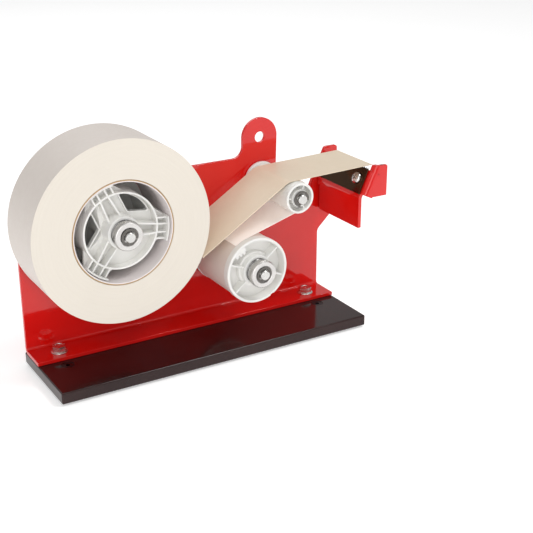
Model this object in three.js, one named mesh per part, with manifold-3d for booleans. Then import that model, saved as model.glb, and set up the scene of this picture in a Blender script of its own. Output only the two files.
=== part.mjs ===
// Bench dispenser for double-coated (liner-backed) tape, built as separate pieces.
// Millimetres, +Z up. X runs along the base, -Y faces the user.
// The pieces are designed from the base's left end (X = 0), the frame plate's front face (Y = 0) and the
// base's underside (Z = 0); the root group then puts the origin at the bottom centre of the whole object.
import * as THREE from 'three';
import { mergeVertices } from 'three/addons/utils/BufferGeometryUtils.js';
import Module from 'manifold-3d';

const wasm = await Module();
wasm.setup();

// ---------- driving dimensions ----------
const GAP = 0.3;                 // clearance round pins, bores and other touching pieces
const SKIN = 0.1;                // clearance between flat faces that are clamped together
const ROUND = 32;                // sides of a large circle
const SMALL = 16;                // sides of a small circle

const SHEET = 3;                 // red frame sheet
const BASE = { length: 266, front: -74, back: 5, height: 9, edge: 1.2 };
const FOOT = { radius: 8, height: 1.5, insetX: 14, frontY: -62, backY: -7 };
const FLANGE_DEPTH = 25;         // bottom flange of the frame, from the plate's front face
const FOLD = { outer: 5 };
const BOLT = { x: 21, y: -14, shank: 2.9, flange: 6.5, hex: 10, height: 5.4 };
const BASE_SCREW = { x: 20.6, y: -32.7, head: 4.7, shank: 2.4, cone: 2.6 };

const PLATE = { top: 137.2, corner: 6, right: 266 };
const EAR = { x: 208.1, z: 152.3, radius: 16.1, hole: 4.5, fillet: 9 };
const NOTCH = { floor: 98, radius: 9 };
const LEAN = THREE.MathUtils.degToRad(25);
const TOWER = { footX: 254.8, top: 135.2, right: 284.6, armLow: 80, armFoot: 62 };

const MAIN = { x: 62, z: 113.9 };        // supply hub axis
const TAKEUP = { x: 169.3, z: 64.9 };    // liner drum axis
const GUIDE = { x: 208.1, z: 117.3 };    // guide roller axis

const TAPE = { front: -55.7, back: -5.9, radius: 69.7, thickness: 0.5, lift: 1.6 };
const CORE = { inner: 38.1, outer: 39.6 };
const HUB = { front: -50.5, back: -5.8, outer: 29.5, wall: 1.5, boss: 12.4, bossFront: -55.8 };
const PAD = { front: -53.5, back: -12, outer: 37.5, floor: -44.5 };
const DRUM = { front: -62.2, back: -4.9, rim: 26.7, tube: 25.2, wall: 1.1, boss: 12.5, bossFront: -62.4 };
const ROLLER = { front: -61.9, back: -0.9, radius: 12.3, wall: 1.9, flange: 15, boss: 7 };
const LINER = { thickness: 0.35, winding: 26.1 };

const SHAFT = { radius: 4, thread: 3, groove: 3.1, rear: 11.4 };
const CLIP = { inner: 3.4, outer: 6.6, thickness: 1, mouth: THREE.MathUtils.degToRad(100) };
const KNURL = { radius: 11.2, depth: 0.4, count: 22, recess: 4, hollow: 6.9 };
const WASHER = { radius: 10.1, thickness: 1.2 };
const SPRING = { radius: 8.9, wire: 0.8, turns: 3, seat: 10.1, depth: 8.6 };
const NUTS = { supply: [-65, -59.8], takeup: [-72.2, -67] };   // front and back faces
const BELT = { y: -3, half: 1.5, main: 24, takeup: 8 };

const BRACKET_FLANGE = { right: 283, top: 104, reach: 12 };
const WEB = { left: 264.8, bottom: 82, bendZ: 107.8, topZ: 129.6, back: -0.6, front: -66 };
const FRONT_EAR = { right: 288.8, top: 133.8, bottom: 108, tab: 7 };
const BLADE = { thickness: 1.2, low: 3, high: 25.3, back: -2.5, front: -60.6, tooth: 2.4, depth: 1.3 };
const BLADE_SCREW = { ys: [-51.5, -12], s: 14.5, shank: 2, head: 4.8, height: 3.2 };
const BRACKET_SCREW = { x: 276, zs: [88, 99], shank: 2, head: 3.9, height: 2.4 };

// ---------- materials ----------
const paint = (color, roughness, metalness) =>
  () => new THREE.MeshStandardMaterial({ color, roughness, metalness });
const RED = paint(0xc81408, 0.18, 0);
const BLACK = paint(0x120d10, 0.15, 0);
const STEEL = paint(0xb9b6b2, 0.28, 1);
const DARK_STEEL = paint(0x2b2118, 0.12, 1);
const BLACK_OXIDE = paint(0x151515, 0.35, 1);
const WHITE = paint(0xecebe6, 0.38, 0);
const RUBBER = paint(0x111111, 0.8, 0);
const CARD = paint(0xb78b5a, 0.85, 0);
const PAPER = paint(0xeee4d3, 0.7, 0);
const ADHESIVE = paint(0xdcc4a2, 0.45, 0);
const LINER_PAPER = paint(0xe6dcd6, 0.5, 0);
const FELT = paint(0x6d675f, 0.95, 0);

// ---------- solids ----------
function solid(geometry) {
  const bare = geometry.index ? geometry.toNonIndexed() : geometry.clone();
  bare.deleteAttribute('normal');
  bare.deleteAttribute('uv');
  const merged = mergeVertices(bare, 1e-4);
  const vertProperties = new Float32Array(merged.attributes.position.array);
  const triVerts = new Uint32Array(merged.index.array);
  let volume = 0;
  const a = new THREE.Vector3();
  const b = new THREE.Vector3();
  const c = new THREE.Vector3();
  for (let i = 0; i < triVerts.length; i += 3) {
    a.fromArray(vertProperties, 3 * triVerts[i]);
    b.fromArray(vertProperties, 3 * triVerts[i + 1]);
    c.fromArray(vertProperties, 3 * triVerts[i + 2]);
    volume += a.dot(b.cross(c));
  }
  if (volume < 0) {
    for (let i = 0; i < triVerts.length; i += 3) {
      const swap = triVerts[i + 1];
      triVerts[i + 1] = triVerts[i + 2];
      triVerts[i + 2] = swap;
    }
  }
  return new wasm.Manifold(new wasm.Mesh({ numProp: 3, vertProperties, triVerts }));
}

function toGeometry(body) {
  const mesh = body.getMesh();
  const geometry = new THREE.BufferGeometry();
  geometry.setAttribute('position', new THREE.BufferAttribute(new Float32Array(mesh.vertProperties), 3));
  geometry.setIndex(new THREE.BufferAttribute(new Uint32Array(mesh.triVerts), 1));
  geometry.computeVertexNormals();
  return geometry;
}

const joinAll = (bodies) => bodies.reduce((sum, body) => sum.add(body));

function block(x0, x1, y0, y1, z0, z1) {
  const box = new THREE.BoxGeometry(x1 - x0, y1 - y0, z1 - z0);
  box.translate((x0 + x1) / 2, (y0 + y1) / 2, (z0 + z1) / 2);
  return solid(box);
}

// a shape drawn in X and Z, filling y0 to y1
function slabY(shape, y0, y1, curveSegments = 8) {
  const geometry = new THREE.ExtrudeGeometry(shape, { depth: y1 - y0, bevelEnabled: false, curveSegments });
  geometry.rotateX(Math.PI / 2);
  geometry.translate(0, y1, 0);
  return solid(geometry);
}

// a shape drawn in Y and Z, filling x0 to x1
function slabX(shape, x0, x1) {
  const geometry = new THREE.ExtrudeGeometry(shape,
    { depth: x1 - x0, bevelEnabled: false, curveSegments: 8 });
  const basis = new THREE.Matrix4().makeBasis(
    new THREE.Vector3(0, 1, 0), new THREE.Vector3(0, 0, 1), new THREE.Vector3(1, 0, 0));
  geometry.applyMatrix4(basis);
  geometry.translate(x0, 0, 0);
  return solid(geometry);
}

// a closed [radius, y] profile turned about a line along Y through x, z
function turned(profile, x, z, segments = ROUND) {
  const points = profile.map(([radius, y]) => new THREE.Vector2(radius, y));
  if (profile[0][0] > 0) {
    points.push(points[0].clone());
  }
  const geometry = new THREE.LatheGeometry(points, segments);
  geometry.translate(x, 0, z);
  return solid(geometry);
}

const tube = (inner, outer, y0, y1, { x, z }, segments = ROUND) =>
  turned([[inner, y0], [outer, y0], [outer, y1], [inner, y1]], x, z, segments);
const rod = (radius, y0, y1, { x, z }, segments = SMALL) =>
  turned([[0, y0], [radius, y0], [radius, y1], [0, y1]], x, z, segments);

// the same along Z, for bolts and feet
function post(profile, x, y, segments = SMALL) {
  const geometry = new THREE.LatheGeometry(profile.map(([r, z]) => new THREE.Vector2(r, z)), segments);
  geometry.rotateX(Math.PI / 2);
  geometry.translate(x, y, 0);
  return solid(geometry);
}

function polygon(count, radiusAt, turn = 0) {
  const points = [];
  for (let i = 0; i < count; i += 1) {
    const angle = turn + 2 * Math.PI * i / count;
    points.push(new THREE.Vector2(Math.cos(angle), Math.sin(angle)).multiplyScalar(radiusAt(i)));
  }
  return new THREE.Shape(points);
}

const hexagon = (acrossFlats, turn = 0) => polygon(6, () => acrossFlats / Math.sqrt(3), turn);

function ringSector(inner, outer, start, end, steps = 10) {
  const points = [];
  for (let i = 0; i <= steps; i += 1) {
    const angle = start + (end - start) * i / steps;
    points.push(new THREE.Vector2(outer * Math.cos(angle), outer * Math.sin(angle)));
  }
  for (let i = steps; i >= 0; i -= 1) {
    const angle = start + (end - start) * i / steps;
    points.push(new THREE.Vector2(inner * Math.cos(angle), inner * Math.sin(angle)));
  }
  return new THREE.Shape(points);
}

// a thin web of given centre line, drawn in X and Z
function webShape(points, thickness) {
  const left = [];
  const right = [];
  points.forEach((point, i) => {
    const before = points[Math.max(i - 1, 0)];
    const after = points[Math.min(i + 1, points.length - 1)];
    const d = after.clone().sub(before).normalize();
    const normal = new THREE.Vector2(-d.y, d.x).multiplyScalar(thickness / 2);
    left.push(point.clone().add(normal));
    right.push(point.clone().sub(normal));
  });
  return new THREE.Shape([...left, ...right.reverse()]);
}

// a sheet that runs from start to corner to end; its thickness lies on the side it folds towards
function foldedSheet(start, corner, end, thickness, outerRadius, steps = 6) {
  const d1 = corner.clone().sub(start).normalize();
  const d2 = end.clone().sub(corner).normalize();
  const turn = Math.atan2(d1.cross(d2), d1.dot(d2));
  const side = Math.sign(turn);
  const normal = (d) => new THREE.Vector2(-d.y, d.x).multiplyScalar(side);
  const reach = outerRadius * Math.tan(Math.abs(turn) / 2);
  const centre = corner.clone().addScaledVector(d1, -reach).addScaledVector(normal(d1), outerRadius);
  const from = Math.atan2(-normal(d1).y, -normal(d1).x);
  const arc = (radius) => {
    const points = [];
    for (let i = 0; i <= steps; i += 1) {
      const angle = from + turn * i / steps;
      points.push(new THREE.Vector2(Math.cos(angle), Math.sin(angle)).multiplyScalar(radius).add(centre));
    }
    return points;
  };
  const outside = [start.clone(), ...arc(outerRadius), end.clone()];
  const inside = [
    start.clone().addScaledVector(normal(d1), thickness),
    ...arc(outerRadius - thickness),
    end.clone().addScaledVector(normal(d2), thickness),
  ];
  return new THREE.Shape([...outside, ...inside.reverse()]);
}

// ---------- assembly ----------
const dispenser = new THREE.Group();

function addPart(name, body, material) {
  const mesh = new THREE.Mesh(toGeometry(body), material());
  mesh.name = name;
  dispenser.add(mesh);
}

const mirrorX = (x) => BASE.length - x;

// ---------- base, feet and base screws ----------
function basePlate() {
  const { front, back, height, edge } = BASE;
  const side = new THREE.Shape();
  side.moveTo(front, 0);
  side.lineTo(back, 0);
  side.lineTo(back, height - edge);
  side.absarc(back - edge, height - edge, edge, 0, Math.PI / 2, false);
  side.lineTo(front + edge, height);
  side.absarc(front + edge, height - edge, edge, Math.PI / 2, Math.PI, false);
  side.lineTo(front, 0);
  let body = slabX(side, 0, BASE.length);
  for (const x of [BOLT.x, mirrorX(BOLT.x)]) {
    const radius = BOLT.shank + GAP;
    body = body.subtract(post([[0, -1], [radius, -1], [radius, height + 1], [0, height + 1]], x, BOLT.y));
  }
  for (const x of [BASE_SCREW.x, mirrorX(BASE_SCREW.x)]) {
    const shank = BASE_SCREW.shank + GAP;
    const head = BASE_SCREW.head + GAP;
    const bore = [[0, -1], [shank, -1], [shank, height - BASE_SCREW.cone - GAP], [head, height - GAP],
      [head, height + 1], [0, height + 1]];
    body = body.subtract(post(bore, x, BASE_SCREW.y));
  }
  return body;
}

function foot(x, y) {
  const { radius, height } = FOOT;
  const low = -height;
  const edge = 0.6;
  const profile = [[0, low], [radius - edge, low], [radius, low + edge], [radius, -SKIN], [0, -SKIN]];
  return post(profile, x, y);
}

// flat-head screw with a hex socket, flush in the base
function baseScrew(x) {
  const top = BASE.height - 0.2;
  const { head, shank, cone } = BASE_SCREW;
  const body = post([[0, 1.5], [shank, 1.5], [shank, top - cone], [head, top - 0.3], [head, top], [0, top]],
    x, BASE_SCREW.y);
  const socket = new THREE.ExtrudeGeometry(hexagon(3.2), { depth: 3, bevelEnabled: false });
  socket.translate(x, BASE_SCREW.y, top - 2);
  return body.subtract(solid(socket));
}

addPart('base_plate', basePlate(), BLACK);
for (const [side, x] of [['left', FOOT.insetX], ['right', mirrorX(FOOT.insetX)]]) {
  addPart(`foot_front_${side}`, foot(x, FOOT.frontY), RUBBER);
  addPart(`foot_rear_${side}`, foot(x, FOOT.backY), RUBBER);
}
addPart('base_screw_left', baseScrew(BASE_SCREW.x), BLACK_OXIDE);
addPart('base_screw_right', baseScrew(mirrorX(BASE_SCREW.x)), BLACK_OXIDE);

// ---------- folded frame ----------
function plateOutline() {
  const { top, corner, right } = PLATE;
  const seam = 20;
  const leanX = (z) => TOWER.footX + (z - NOTCH.floor) * Math.tan(LEAN);
  const outline = new THREE.Shape();
  outline.moveTo(0, seam);
  outline.lineTo(right, seam);
  outline.lineTo(right, TOWER.armFoot);
  outline.lineTo(TOWER.right, TOWER.armLow);
  outline.lineTo(TOWER.right, TOWER.top - 2);
  outline.absarc(TOWER.right - 2, TOWER.top - 2, 2, 0, Math.PI / 2, false);
  outline.lineTo(leanX(TOWER.top) + 2, TOWER.top);
  outline.quadraticCurveTo(leanX(TOWER.top), TOWER.top, leanX(TOWER.top - 2), TOWER.top - 2);
  outline.lineTo(leanX(NOTCH.floor + 5), NOTCH.floor + 5);
  outline.quadraticCurveTo(TOWER.footX, NOTCH.floor, TOWER.footX - 6, NOTCH.floor);
  const earRight = EAR.x + EAR.radius;
  const earLeft = EAR.x - EAR.radius;
  const notchX = earRight + NOTCH.radius;
  const notchZ = NOTCH.floor + NOTCH.radius;
  outline.lineTo(notchX, NOTCH.floor);
  outline.absarc(notchX, notchZ, NOTCH.radius, -Math.PI / 2, -Math.PI, true);
  outline.lineTo(earRight, EAR.z);
  outline.absarc(EAR.x, EAR.z, EAR.radius, 0, Math.PI, false);
  outline.lineTo(earLeft, top + EAR.fillet);
  outline.absarc(earLeft - EAR.fillet, top + EAR.fillet, EAR.fillet, 0, -Math.PI / 2, true);
  outline.lineTo(corner, top);
  outline.absarc(corner, top - corner, corner, Math.PI / 2, Math.PI, false);
  outline.lineTo(0, seam);
  return outline;
}

function framePlate() {
  const low = BASE.height + SKIN;
  const fold = foldedSheet(new THREE.Vector2(-FLANGE_DEPTH, low), new THREE.Vector2(SHEET, low),
    new THREE.Vector2(SHEET, 26), SHEET, FOLD.outer);
  let body = slabX(fold, 0, PLATE.right).add(slabY(plateOutline(), 0, SHEET, 8));
  for (const { x, z } of [MAIN, TAKEUP, GUIDE]) {
    body = body.subtract(rod(SHAFT.thread + GAP, -1, SHEET + 1, { x, z }));
  }
  body = body.subtract(rod(EAR.hole, -1, SHEET + 1, { x: EAR.x, z: EAR.z }));
  for (const z of BRACKET_SCREW.zs) {
    body = body.subtract(rod(BRACKET_SCREW.shank + GAP, -1, SHEET + 1, { x: BRACKET_SCREW.x, z }, 16));
  }
  const radius = BOLT.shank + GAP;
  for (const x of [BOLT.x, mirrorX(BOLT.x)]) {
    body = body.subtract(post([[0, 8], [radius, 8], [radius, 14], [0, 14]], x, BOLT.y));
  }
  return body;
}

// hex flange bolt holding the frame to the base
function flangeBolt(x) {
  const seat = BASE.height + SHEET + 2 * SKIN;
  const washer = [[0, 1.5], [BOLT.shank, 1.5], [BOLT.shank, seat], [BOLT.flange, seat],
    [BOLT.flange, seat + 0.6], [BOLT.hex / 2, seat + 1.4], [0, seat + 1.4]];
  const head = new THREE.ExtrudeGeometry(hexagon(BOLT.hex, 0.3),
    { depth: BOLT.height - 1.2, bevelEnabled: false });
  head.translate(x, BOLT.y, seat + 1.2);
  return post(washer, x, BOLT.y).add(solid(head));
}

addPart('frame_plate', framePlate(), RED);
addPart('flange_bolt_left', flangeBolt(BOLT.x), STEEL);
addPart('flange_bolt_right', flangeBolt(mirrorX(BOLT.x)), STEEL);

// ---------- cutter: bracket, blade and its screws ----------
// along: up the leaning web; away: out of the web's blade side, towards the tape
const along = new THREE.Vector3(Math.sin(LEAN), 0, Math.cos(LEAN));
const away = new THREE.Vector3(-Math.cos(LEAN), 0, Math.sin(LEAN));
const bendLine = new THREE.Vector3(WEB.left, 0, WEB.bendZ);
const leanFaceX = (z) => WEB.left + (z - WEB.bendZ) * Math.tan(LEAN);

// geometry drawn with x = Y, y = distance up the lean, z = distance out of its face
function onLean(geometry) {
  const basis = new THREE.Matrix4().makeBasis(new THREE.Vector3(0, 1, 0), along, away);
  geometry.applyMatrix4(basis);
  geometry.translate(bendLine.x, bendLine.y, bendLine.z);
  return solid(geometry);
}

function onLeanPost(profile, y, s, segments = 16) {
  const geometry = new THREE.LatheGeometry(profile.map(([r, h]) => new THREE.Vector2(r, h)), segments);
  geometry.rotateX(Math.PI / 2);
  geometry.translate(y, s, 0);
  return onLean(geometry);
}

function cutterBracket() {
  const foot2 = new THREE.Vector2(WEB.left, WEB.bottom);
  const bend = new THREE.Vector2(WEB.left, WEB.bendZ);
  const tip = new THREE.Vector2(leanFaceX(WEB.topZ), WEB.topZ);
  const foldBack = -FOLD.outer - 0.6;
  const web = slabY(foldedSheet(foot2, bend, tip, SHEET, FOLD.outer), WEB.front + FOLD.outer, WEB.back);
  const relief = block(WEB.left - 5, WEB.left + 9, foldBack, 1, WEB.bottom - 1, BRACKET_FLANGE.top);
  // flange that is screwed to the frame plate
  const flat = foldedSheet(new THREE.Vector2(BRACKET_FLANGE.right, -SKIN), new THREE.Vector2(WEB.left, -SKIN),
    new THREE.Vector2(WEB.left, -BRACKET_FLANGE.reach), SHEET, FOLD.outer);
  const flangeHeight = BRACKET_FLANGE.top - WEB.bottom;
  const flange = solid(new THREE.ExtrudeGeometry(flat, { depth: flangeHeight, bevelEnabled: false })
    .translate(0, 0, WEB.bottom));
  // front ear, folded off the leaning web's front edge
  const low = (FRONT_EAR.bottom + 3 - WEB.bendZ) / Math.cos(LEAN);
  const high = (WEB.topZ - WEB.bendZ) / Math.cos(LEAN);
  const corner = foldedSheet(new THREE.Vector2(-40, 0), new THREE.Vector2(WEB.front, 0),
    new THREE.Vector2(WEB.front, -9), SHEET, FOLD.outer);
  const cornerSolid = new THREE.ExtrudeGeometry(corner, { depth: high - low, bevelEnabled: false });
  cornerSolid.applyMatrix4(new THREE.Matrix4().makeBasis(new THREE.Vector3(0, 1, 0), away, along));
  cornerSolid.translate(bendLine.x + along.x * low, 0, bendLine.z + along.z * low);
  // the fold's front edge carries on above the web, and is trimmed level with the ear's top
  const overlap = 1;
  const trim = 3;
  const tabLow = high - overlap;
  const tabHigh = (FRONT_EAR.top + trim - WEB.bendZ) / Math.cos(LEAN);
  const tab = foldedSheet(new THREE.Vector2(WEB.front + FOLD.outer + 0.2, 0), new THREE.Vector2(WEB.front, 0),
    new THREE.Vector2(WEB.front, -FRONT_EAR.tab), SHEET, FOLD.outer);
  const tabSolid = new THREE.ExtrudeGeometry(tab, { depth: tabHigh - tabLow, bevelEnabled: false });
  tabSolid.applyMatrix4(new THREE.Matrix4().makeBasis(new THREE.Vector3(0, 1, 0), away, along));
  tabSolid.translate(bendLine.x + along.x * tabLow, 0, bendLine.z + along.z * tabLow);
  const above = block(WEB.left, FRONT_EAR.right, WEB.front - overlap, 0,
    FRONT_EAR.top, FRONT_EAR.top + 2 * trim);
  const trimmedTab = solid(tabSolid).subtract(above);
  const offset = FOLD.outer / Math.cos(LEAN);
  const earShape = new THREE.Shape();
  earShape.moveTo(leanFaceX(FRONT_EAR.bottom) + offset + 2, FRONT_EAR.bottom);
  earShape.lineTo(FRONT_EAR.right, FRONT_EAR.bottom);
  earShape.lineTo(FRONT_EAR.right, FRONT_EAR.top - 1.5);
  earShape.absarc(FRONT_EAR.right - 1.5, FRONT_EAR.top - 1.5, 1.5, 0, Math.PI / 2, false);
  earShape.lineTo(leanFaceX(FRONT_EAR.top) + offset, FRONT_EAR.top);
  earShape.closePath();
  const ear = slabY(earShape, WEB.front, WEB.front + SHEET);
  let body = joinAll([web.subtract(relief), flange, solid(cornerSolid), trimmedTab, ear]);
  for (const y of BLADE_SCREW.ys) {
    const radius = BLADE_SCREW.shank + GAP;
    body = body.subtract(onLeanPost([[0, -8], [radius, -8], [radius, 4], [0, 4]], y, BLADE_SCREW.s));
  }
  for (const z of BRACKET_SCREW.zs) {
    body = body.subtract(rod(BRACKET_SCREW.shank + GAP, -5, 1, { x: BRACKET_SCREW.x, z }, 16));
  }
  return body;
}

function cutterBlade() {
  const { low, high, back, front, tooth, depth, thickness } = BLADE;
  const shape = new THREE.Shape();
  shape.moveTo(back, low);
  shape.lineTo(back, high - depth);
  const count = Math.floor((back - front) / tooth);
  const pitch = (back - front) / count;
  for (let i = 0; i < count; i += 1) {
    shape.lineTo(back - (i + 0.5) * pitch, high);
    shape.lineTo(back - (i + 1) * pitch, high - depth);
  }
  shape.lineTo(front, low);
  shape.closePath();
  for (const y of BLADE_SCREW.ys) {
    const hole = new THREE.Path();
    hole.absarc(y, BLADE_SCREW.s, BLADE_SCREW.shank + GAP, 0, 2 * Math.PI, true);
    shape.holes.push(hole);
  }
  const geometry = new THREE.ExtrudeGeometry(shape,
    { depth: thickness, bevelEnabled: false, curveSegments: 12 });
  geometry.translate(0, 0, GAP);
  return onLean(geometry);
}

// pan-head screw through the blade and the web
function bladeScrew(y) {
  const seat = 2 * GAP + BLADE.thickness;
  const { shank, head, height } = BLADE_SCREW;
  const profile = [[0, -8.6], [shank, -8.6], [shank, seat], [head, seat], [head, seat + 1],
    [head * 0.9, seat + 2], [head * 0.6, seat + height - 0.4], [head * 0.3, seat + height],
    [0, seat + height]];
  const slot = new THREE.BoxGeometry(5.6, 1, 1.6).translate(y, BLADE_SCREW.s, seat + height);
  const cross = new THREE.BoxGeometry(1, 5.6, 1.6).translate(y, BLADE_SCREW.s, seat + height);
  return onLeanPost(profile, y, BLADE_SCREW.s).subtract(onLean(slot).add(onLean(cross)));
}

function bladeNut(y) {
  const shape = hexagon(7);
  const hole = new THREE.Path();
  hole.absarc(0, 0, BLADE_SCREW.shank + GAP, 0, 2 * Math.PI, true);
  shape.holes.push(hole);
  const geometry = new THREE.ExtrudeGeometry(shape, { depth: 3.2, bevelEnabled: false, curveSegments: 12 });
  geometry.translate(y, BLADE_SCREW.s, -SHEET - GAP - 3.2);
  return onLean(geometry);
}

// button-head screw driven from behind the frame plate into the bracket's flange
function bracketScrew(z) {
  const seat = SHEET + SKIN;
  const { shank, head, height, x } = BRACKET_SCREW;
  return turned([[0, -3], [shank, -3], [shank, seat], [head, seat], [head, seat + 0.8],
    [head * 0.6, seat + height], [0, seat + height]], x, z, 16);
}

addPart('cutter_bracket', cutterBracket(), RED);
addPart('cutter_blade', cutterBlade(), DARK_STEEL);
BLADE_SCREW.ys.forEach((y, i) => {
  const side = ['front', 'rear'][i];
  addPart(`blade_screw_${side}`, bladeScrew(y), STEEL);
  addPart(`blade_nut_${side}`, bladeNut(y), STEEL);
});
BRACKET_SCREW.zs.forEach((z, i) => {
  addPart(`bracket_screw_${['lower', 'upper'][i]}`, bracketScrew(z), STEEL);
});

// ---------- shafts, rear nuts and retaining clips ----------
function shaft(axis, front, clipFront) {
  const { radius, thread, groove, rear } = SHAFT;
  const clipBack = clipFront + CLIP.thickness + 0.4;
  return turned([
    [0, front], [radius - 0.8, front], [radius, front + 0.8], [radius, clipFront - 0.2],
    [groove, clipFront - 0.2], [groove, clipBack], [radius, clipBack], [radius, -SKIN],
    [thread, -SKIN], [thread, rear - 0.6], [thread - 0.6, rear], [0, rear],
  ], axis.x, axis.z, SMALL);
}

function rearWasher(axis) {
  return tube(SHAFT.thread + GAP, 7, SHEET + SKIN, SHEET + 1.2, axis, 20);
}

function rearNut(axis) {
  const shape = hexagon(10, 0.2);
  const hole = new THREE.Path();
  hole.absarc(0, 0, SHAFT.thread + GAP, 0, 2 * Math.PI, true);
  shape.holes.push(hole);
  const y0 = SHEET + 1.3;
  return slabY(shape, y0, y0 + 5).translate([axis.x, 0, axis.z]);
}

// snap ring with its mouth towards the lower right
function clip(axis, clipFront) {
  const mouthAt = THREE.MathUtils.degToRad(-60);
  const start = mouthAt + CLIP.mouth / 2;
  const end = mouthAt + 2 * Math.PI - CLIP.mouth / 2;
  const shape = ringSector(CLIP.inner, CLIP.outer, start, end, 16);
  return slabY(shape, clipFront, clipFront + CLIP.thickness).translate([axis.x, 0, axis.z]);
}

const SHAFTS = [
  { name: 'supply', axis: MAIN, front: -67.7, clip: -65.6 },
  { name: 'takeup', axis: TAKEUP, front: -74.7, clip: -72.6 },
  { name: 'guide', axis: GUIDE, front: -66.4, clip: -64.2 },
];
for (const { name, axis, front, clip: clipFront } of SHAFTS) {
  addPart(`${name}_shaft`, shaft(axis, front, clipFront), STEEL);
  addPart(`${name}_clip`, clip(axis, clipFront), BLACK_OXIDE);
  addPart(`${name}_rear_washer`, rearWasher(axis), STEEL);
  addPart(`${name}_rear_nut`, rearNut(axis), STEEL);
}

// ---------- supply hub, core and roll ----------
const LOBES = [-6, 114, 234].map(THREE.MathUtils.degToRad);

// a bar along a lobe's direction: offset sideways, from radius r0 to r1
function lobeBar(angle, offset, width, r0, r1, y0, y1) {
  return block(r0, r1, y0, y1, offset - width / 2, offset + width / 2)
    .rotate([0, -THREE.MathUtils.radToDeg(angle), 0]);
}

const polar = (radius, angle) => new THREE.Vector2(radius * Math.cos(angle), radius * Math.sin(angle));

// outline of a lobe's floor: from the ring out to both ends of its pad
function lobeFloor(angle, inner, outer) {
  const [wide, narrow] = [37, 14].map(THREE.MathUtils.degToRad);
  const points = [polar(inner, angle - wide)];
  for (let i = -3; i <= 3; i += 1) {
    points.push(polar(outer, angle + narrow * i / 3));
  }
  for (let i = 4; i >= -3; i -= 1) {
    points.push(polar(inner, angle + wide * i / 4));
  }
  return new THREE.Shape(points);
}

function supplyHub() {
  const centre = { x: 0, z: 0 };
  const { front, back, outer, wall, boss, bossFront } = HUB;
  const floorFront = front + 8;
  const pieces = [
    tube(outer - wall, outer, front, back, centre),
    tube(boss - 1, outer - wall / 2, floorFront, floorFront + 2.4, centre),
    tube(boss - 1, PAD.outer, back - 2.4, back, centre),
    tube(SHAFT.radius + GAP, boss, bossFront, back, centre, 28),
  ];
  const half = THREE.MathUtils.degToRad(15);
  for (const angle of LOBES) {
    for (const side of [-1, 1]) {
      const tip = polar(outer - wall / 2, angle + side * Math.asin(3.4 / outer));
      const root = polar(boss - 1, angle + side * Math.asin(4.8 / boss));
      pieces.push(slabY(webShape([root, tip], 1.4), front + 0.2, floorFront + 1));
    }
    for (const offset of [-8, -3.2, 3.2, 8]) {
      pieces.push(lobeBar(angle, offset, 1.3, outer - 2.1, PAD.outer - 0.7, front, PAD.floor + 1));
    }
    const pad = ringSector(PAD.outer - 1.4, PAD.outer, angle - half, angle + half);
    pieces.push(slabY(pad, PAD.front, PAD.back));
    pieces.push(slabY(lobeFloor(angle, outer - wall / 2, PAD.outer - 0.7), PAD.floor, PAD.floor + 2.2));
  }
  let body = joinAll(pieces);
  const seat = tube(SHAFT.radius - 1, SPRING.seat + 0.1, bossFront - 1, bossFront + SPRING.depth, centre, 28);
  body = body.subtract(seat);
  // two windows in the hub's floor, each bounded by its neighbouring lobes
  for (const [low, high] of [[LOBES[0], LOBES[1]], [LOBES[1], LOBES[2]]]) {
    const wedge = new THREE.Shape();
    const inset = THREE.MathUtils.degToRad(29);
    const edge = outer - wall - 1.5;
    wedge.moveTo(15 * Math.cos((low + high) / 2), 15 * Math.sin((low + high) / 2));
    for (let i = 0; i <= 8; i += 1) {
      const angle = low + inset + (high - low - 2 * inset) * i / 8;
      wedge.lineTo(edge * Math.cos(angle), edge * Math.sin(angle));
    }
    wedge.closePath();
    body = body.subtract(slabY(wedge, floorFront - 1, floorFront + 4));
  }
  return body.translate([MAIN.x, 0, MAIN.z]);
}

function pulley(axis, pitchRadius) {
  const flange = pitchRadius + BELT.half + 0.3;
  const floor = pitchRadius - BELT.half - GAP;
  const side = BELT.half + GAP;
  const y0 = BELT.y - 2.5;
  const y1 = BELT.y + 2.5;
  return turned([
    [SHAFT.radius + GAP, y0], [flange, y0], [flange, BELT.y - side], [floor, BELT.y - side],
    [floor, BELT.y + side], [flange, BELT.y + side], [flange, y1], [SHAFT.radius + GAP, y1],
  ], axis.x, axis.z, 28);
}

addPart('supply_hub', supplyHub(), WHITE);
addPart('tape_core', tube(CORE.inner, CORE.outer, TAPE.front, TAPE.back, MAIN), CARD);
addPart('tape_roll', tube(CORE.outer + GAP, TAPE.radius, TAPE.front, TAPE.back, MAIN, 48), PAPER);
addPart('supply_pulley', pulley(MAIN, BELT.main), WHITE);

// ---------- adjustable brakes: spring, pressure washer and knurled nut ----------
class Helix extends THREE.Curve {
  constructor(radius, y0, y1, turns) {
    super();
    Object.assign(this, { radius, y0, y1, turns });
  }

  getPoint(t) {
    const angle = 2 * Math.PI * this.turns * t;
    const y = THREE.MathUtils.lerp(this.y0, this.y1, t);
    return new THREE.Vector3(this.radius * Math.cos(angle), y, this.radius * Math.sin(angle));
  }
}

function spring(axis, y0, y1) {
  const { radius, wire, turns } = SPRING;
  const path = new Helix(radius, y0 + wire, y1 - wire, turns);
  const geometry = new THREE.ExtrudeGeometry(polygon(5, () => wire),
    { steps: 12 * turns, bevelEnabled: false, extrudePath: path });
  geometry.translate(axis.x, 0, axis.z);
  return solid(geometry);
}

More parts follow.
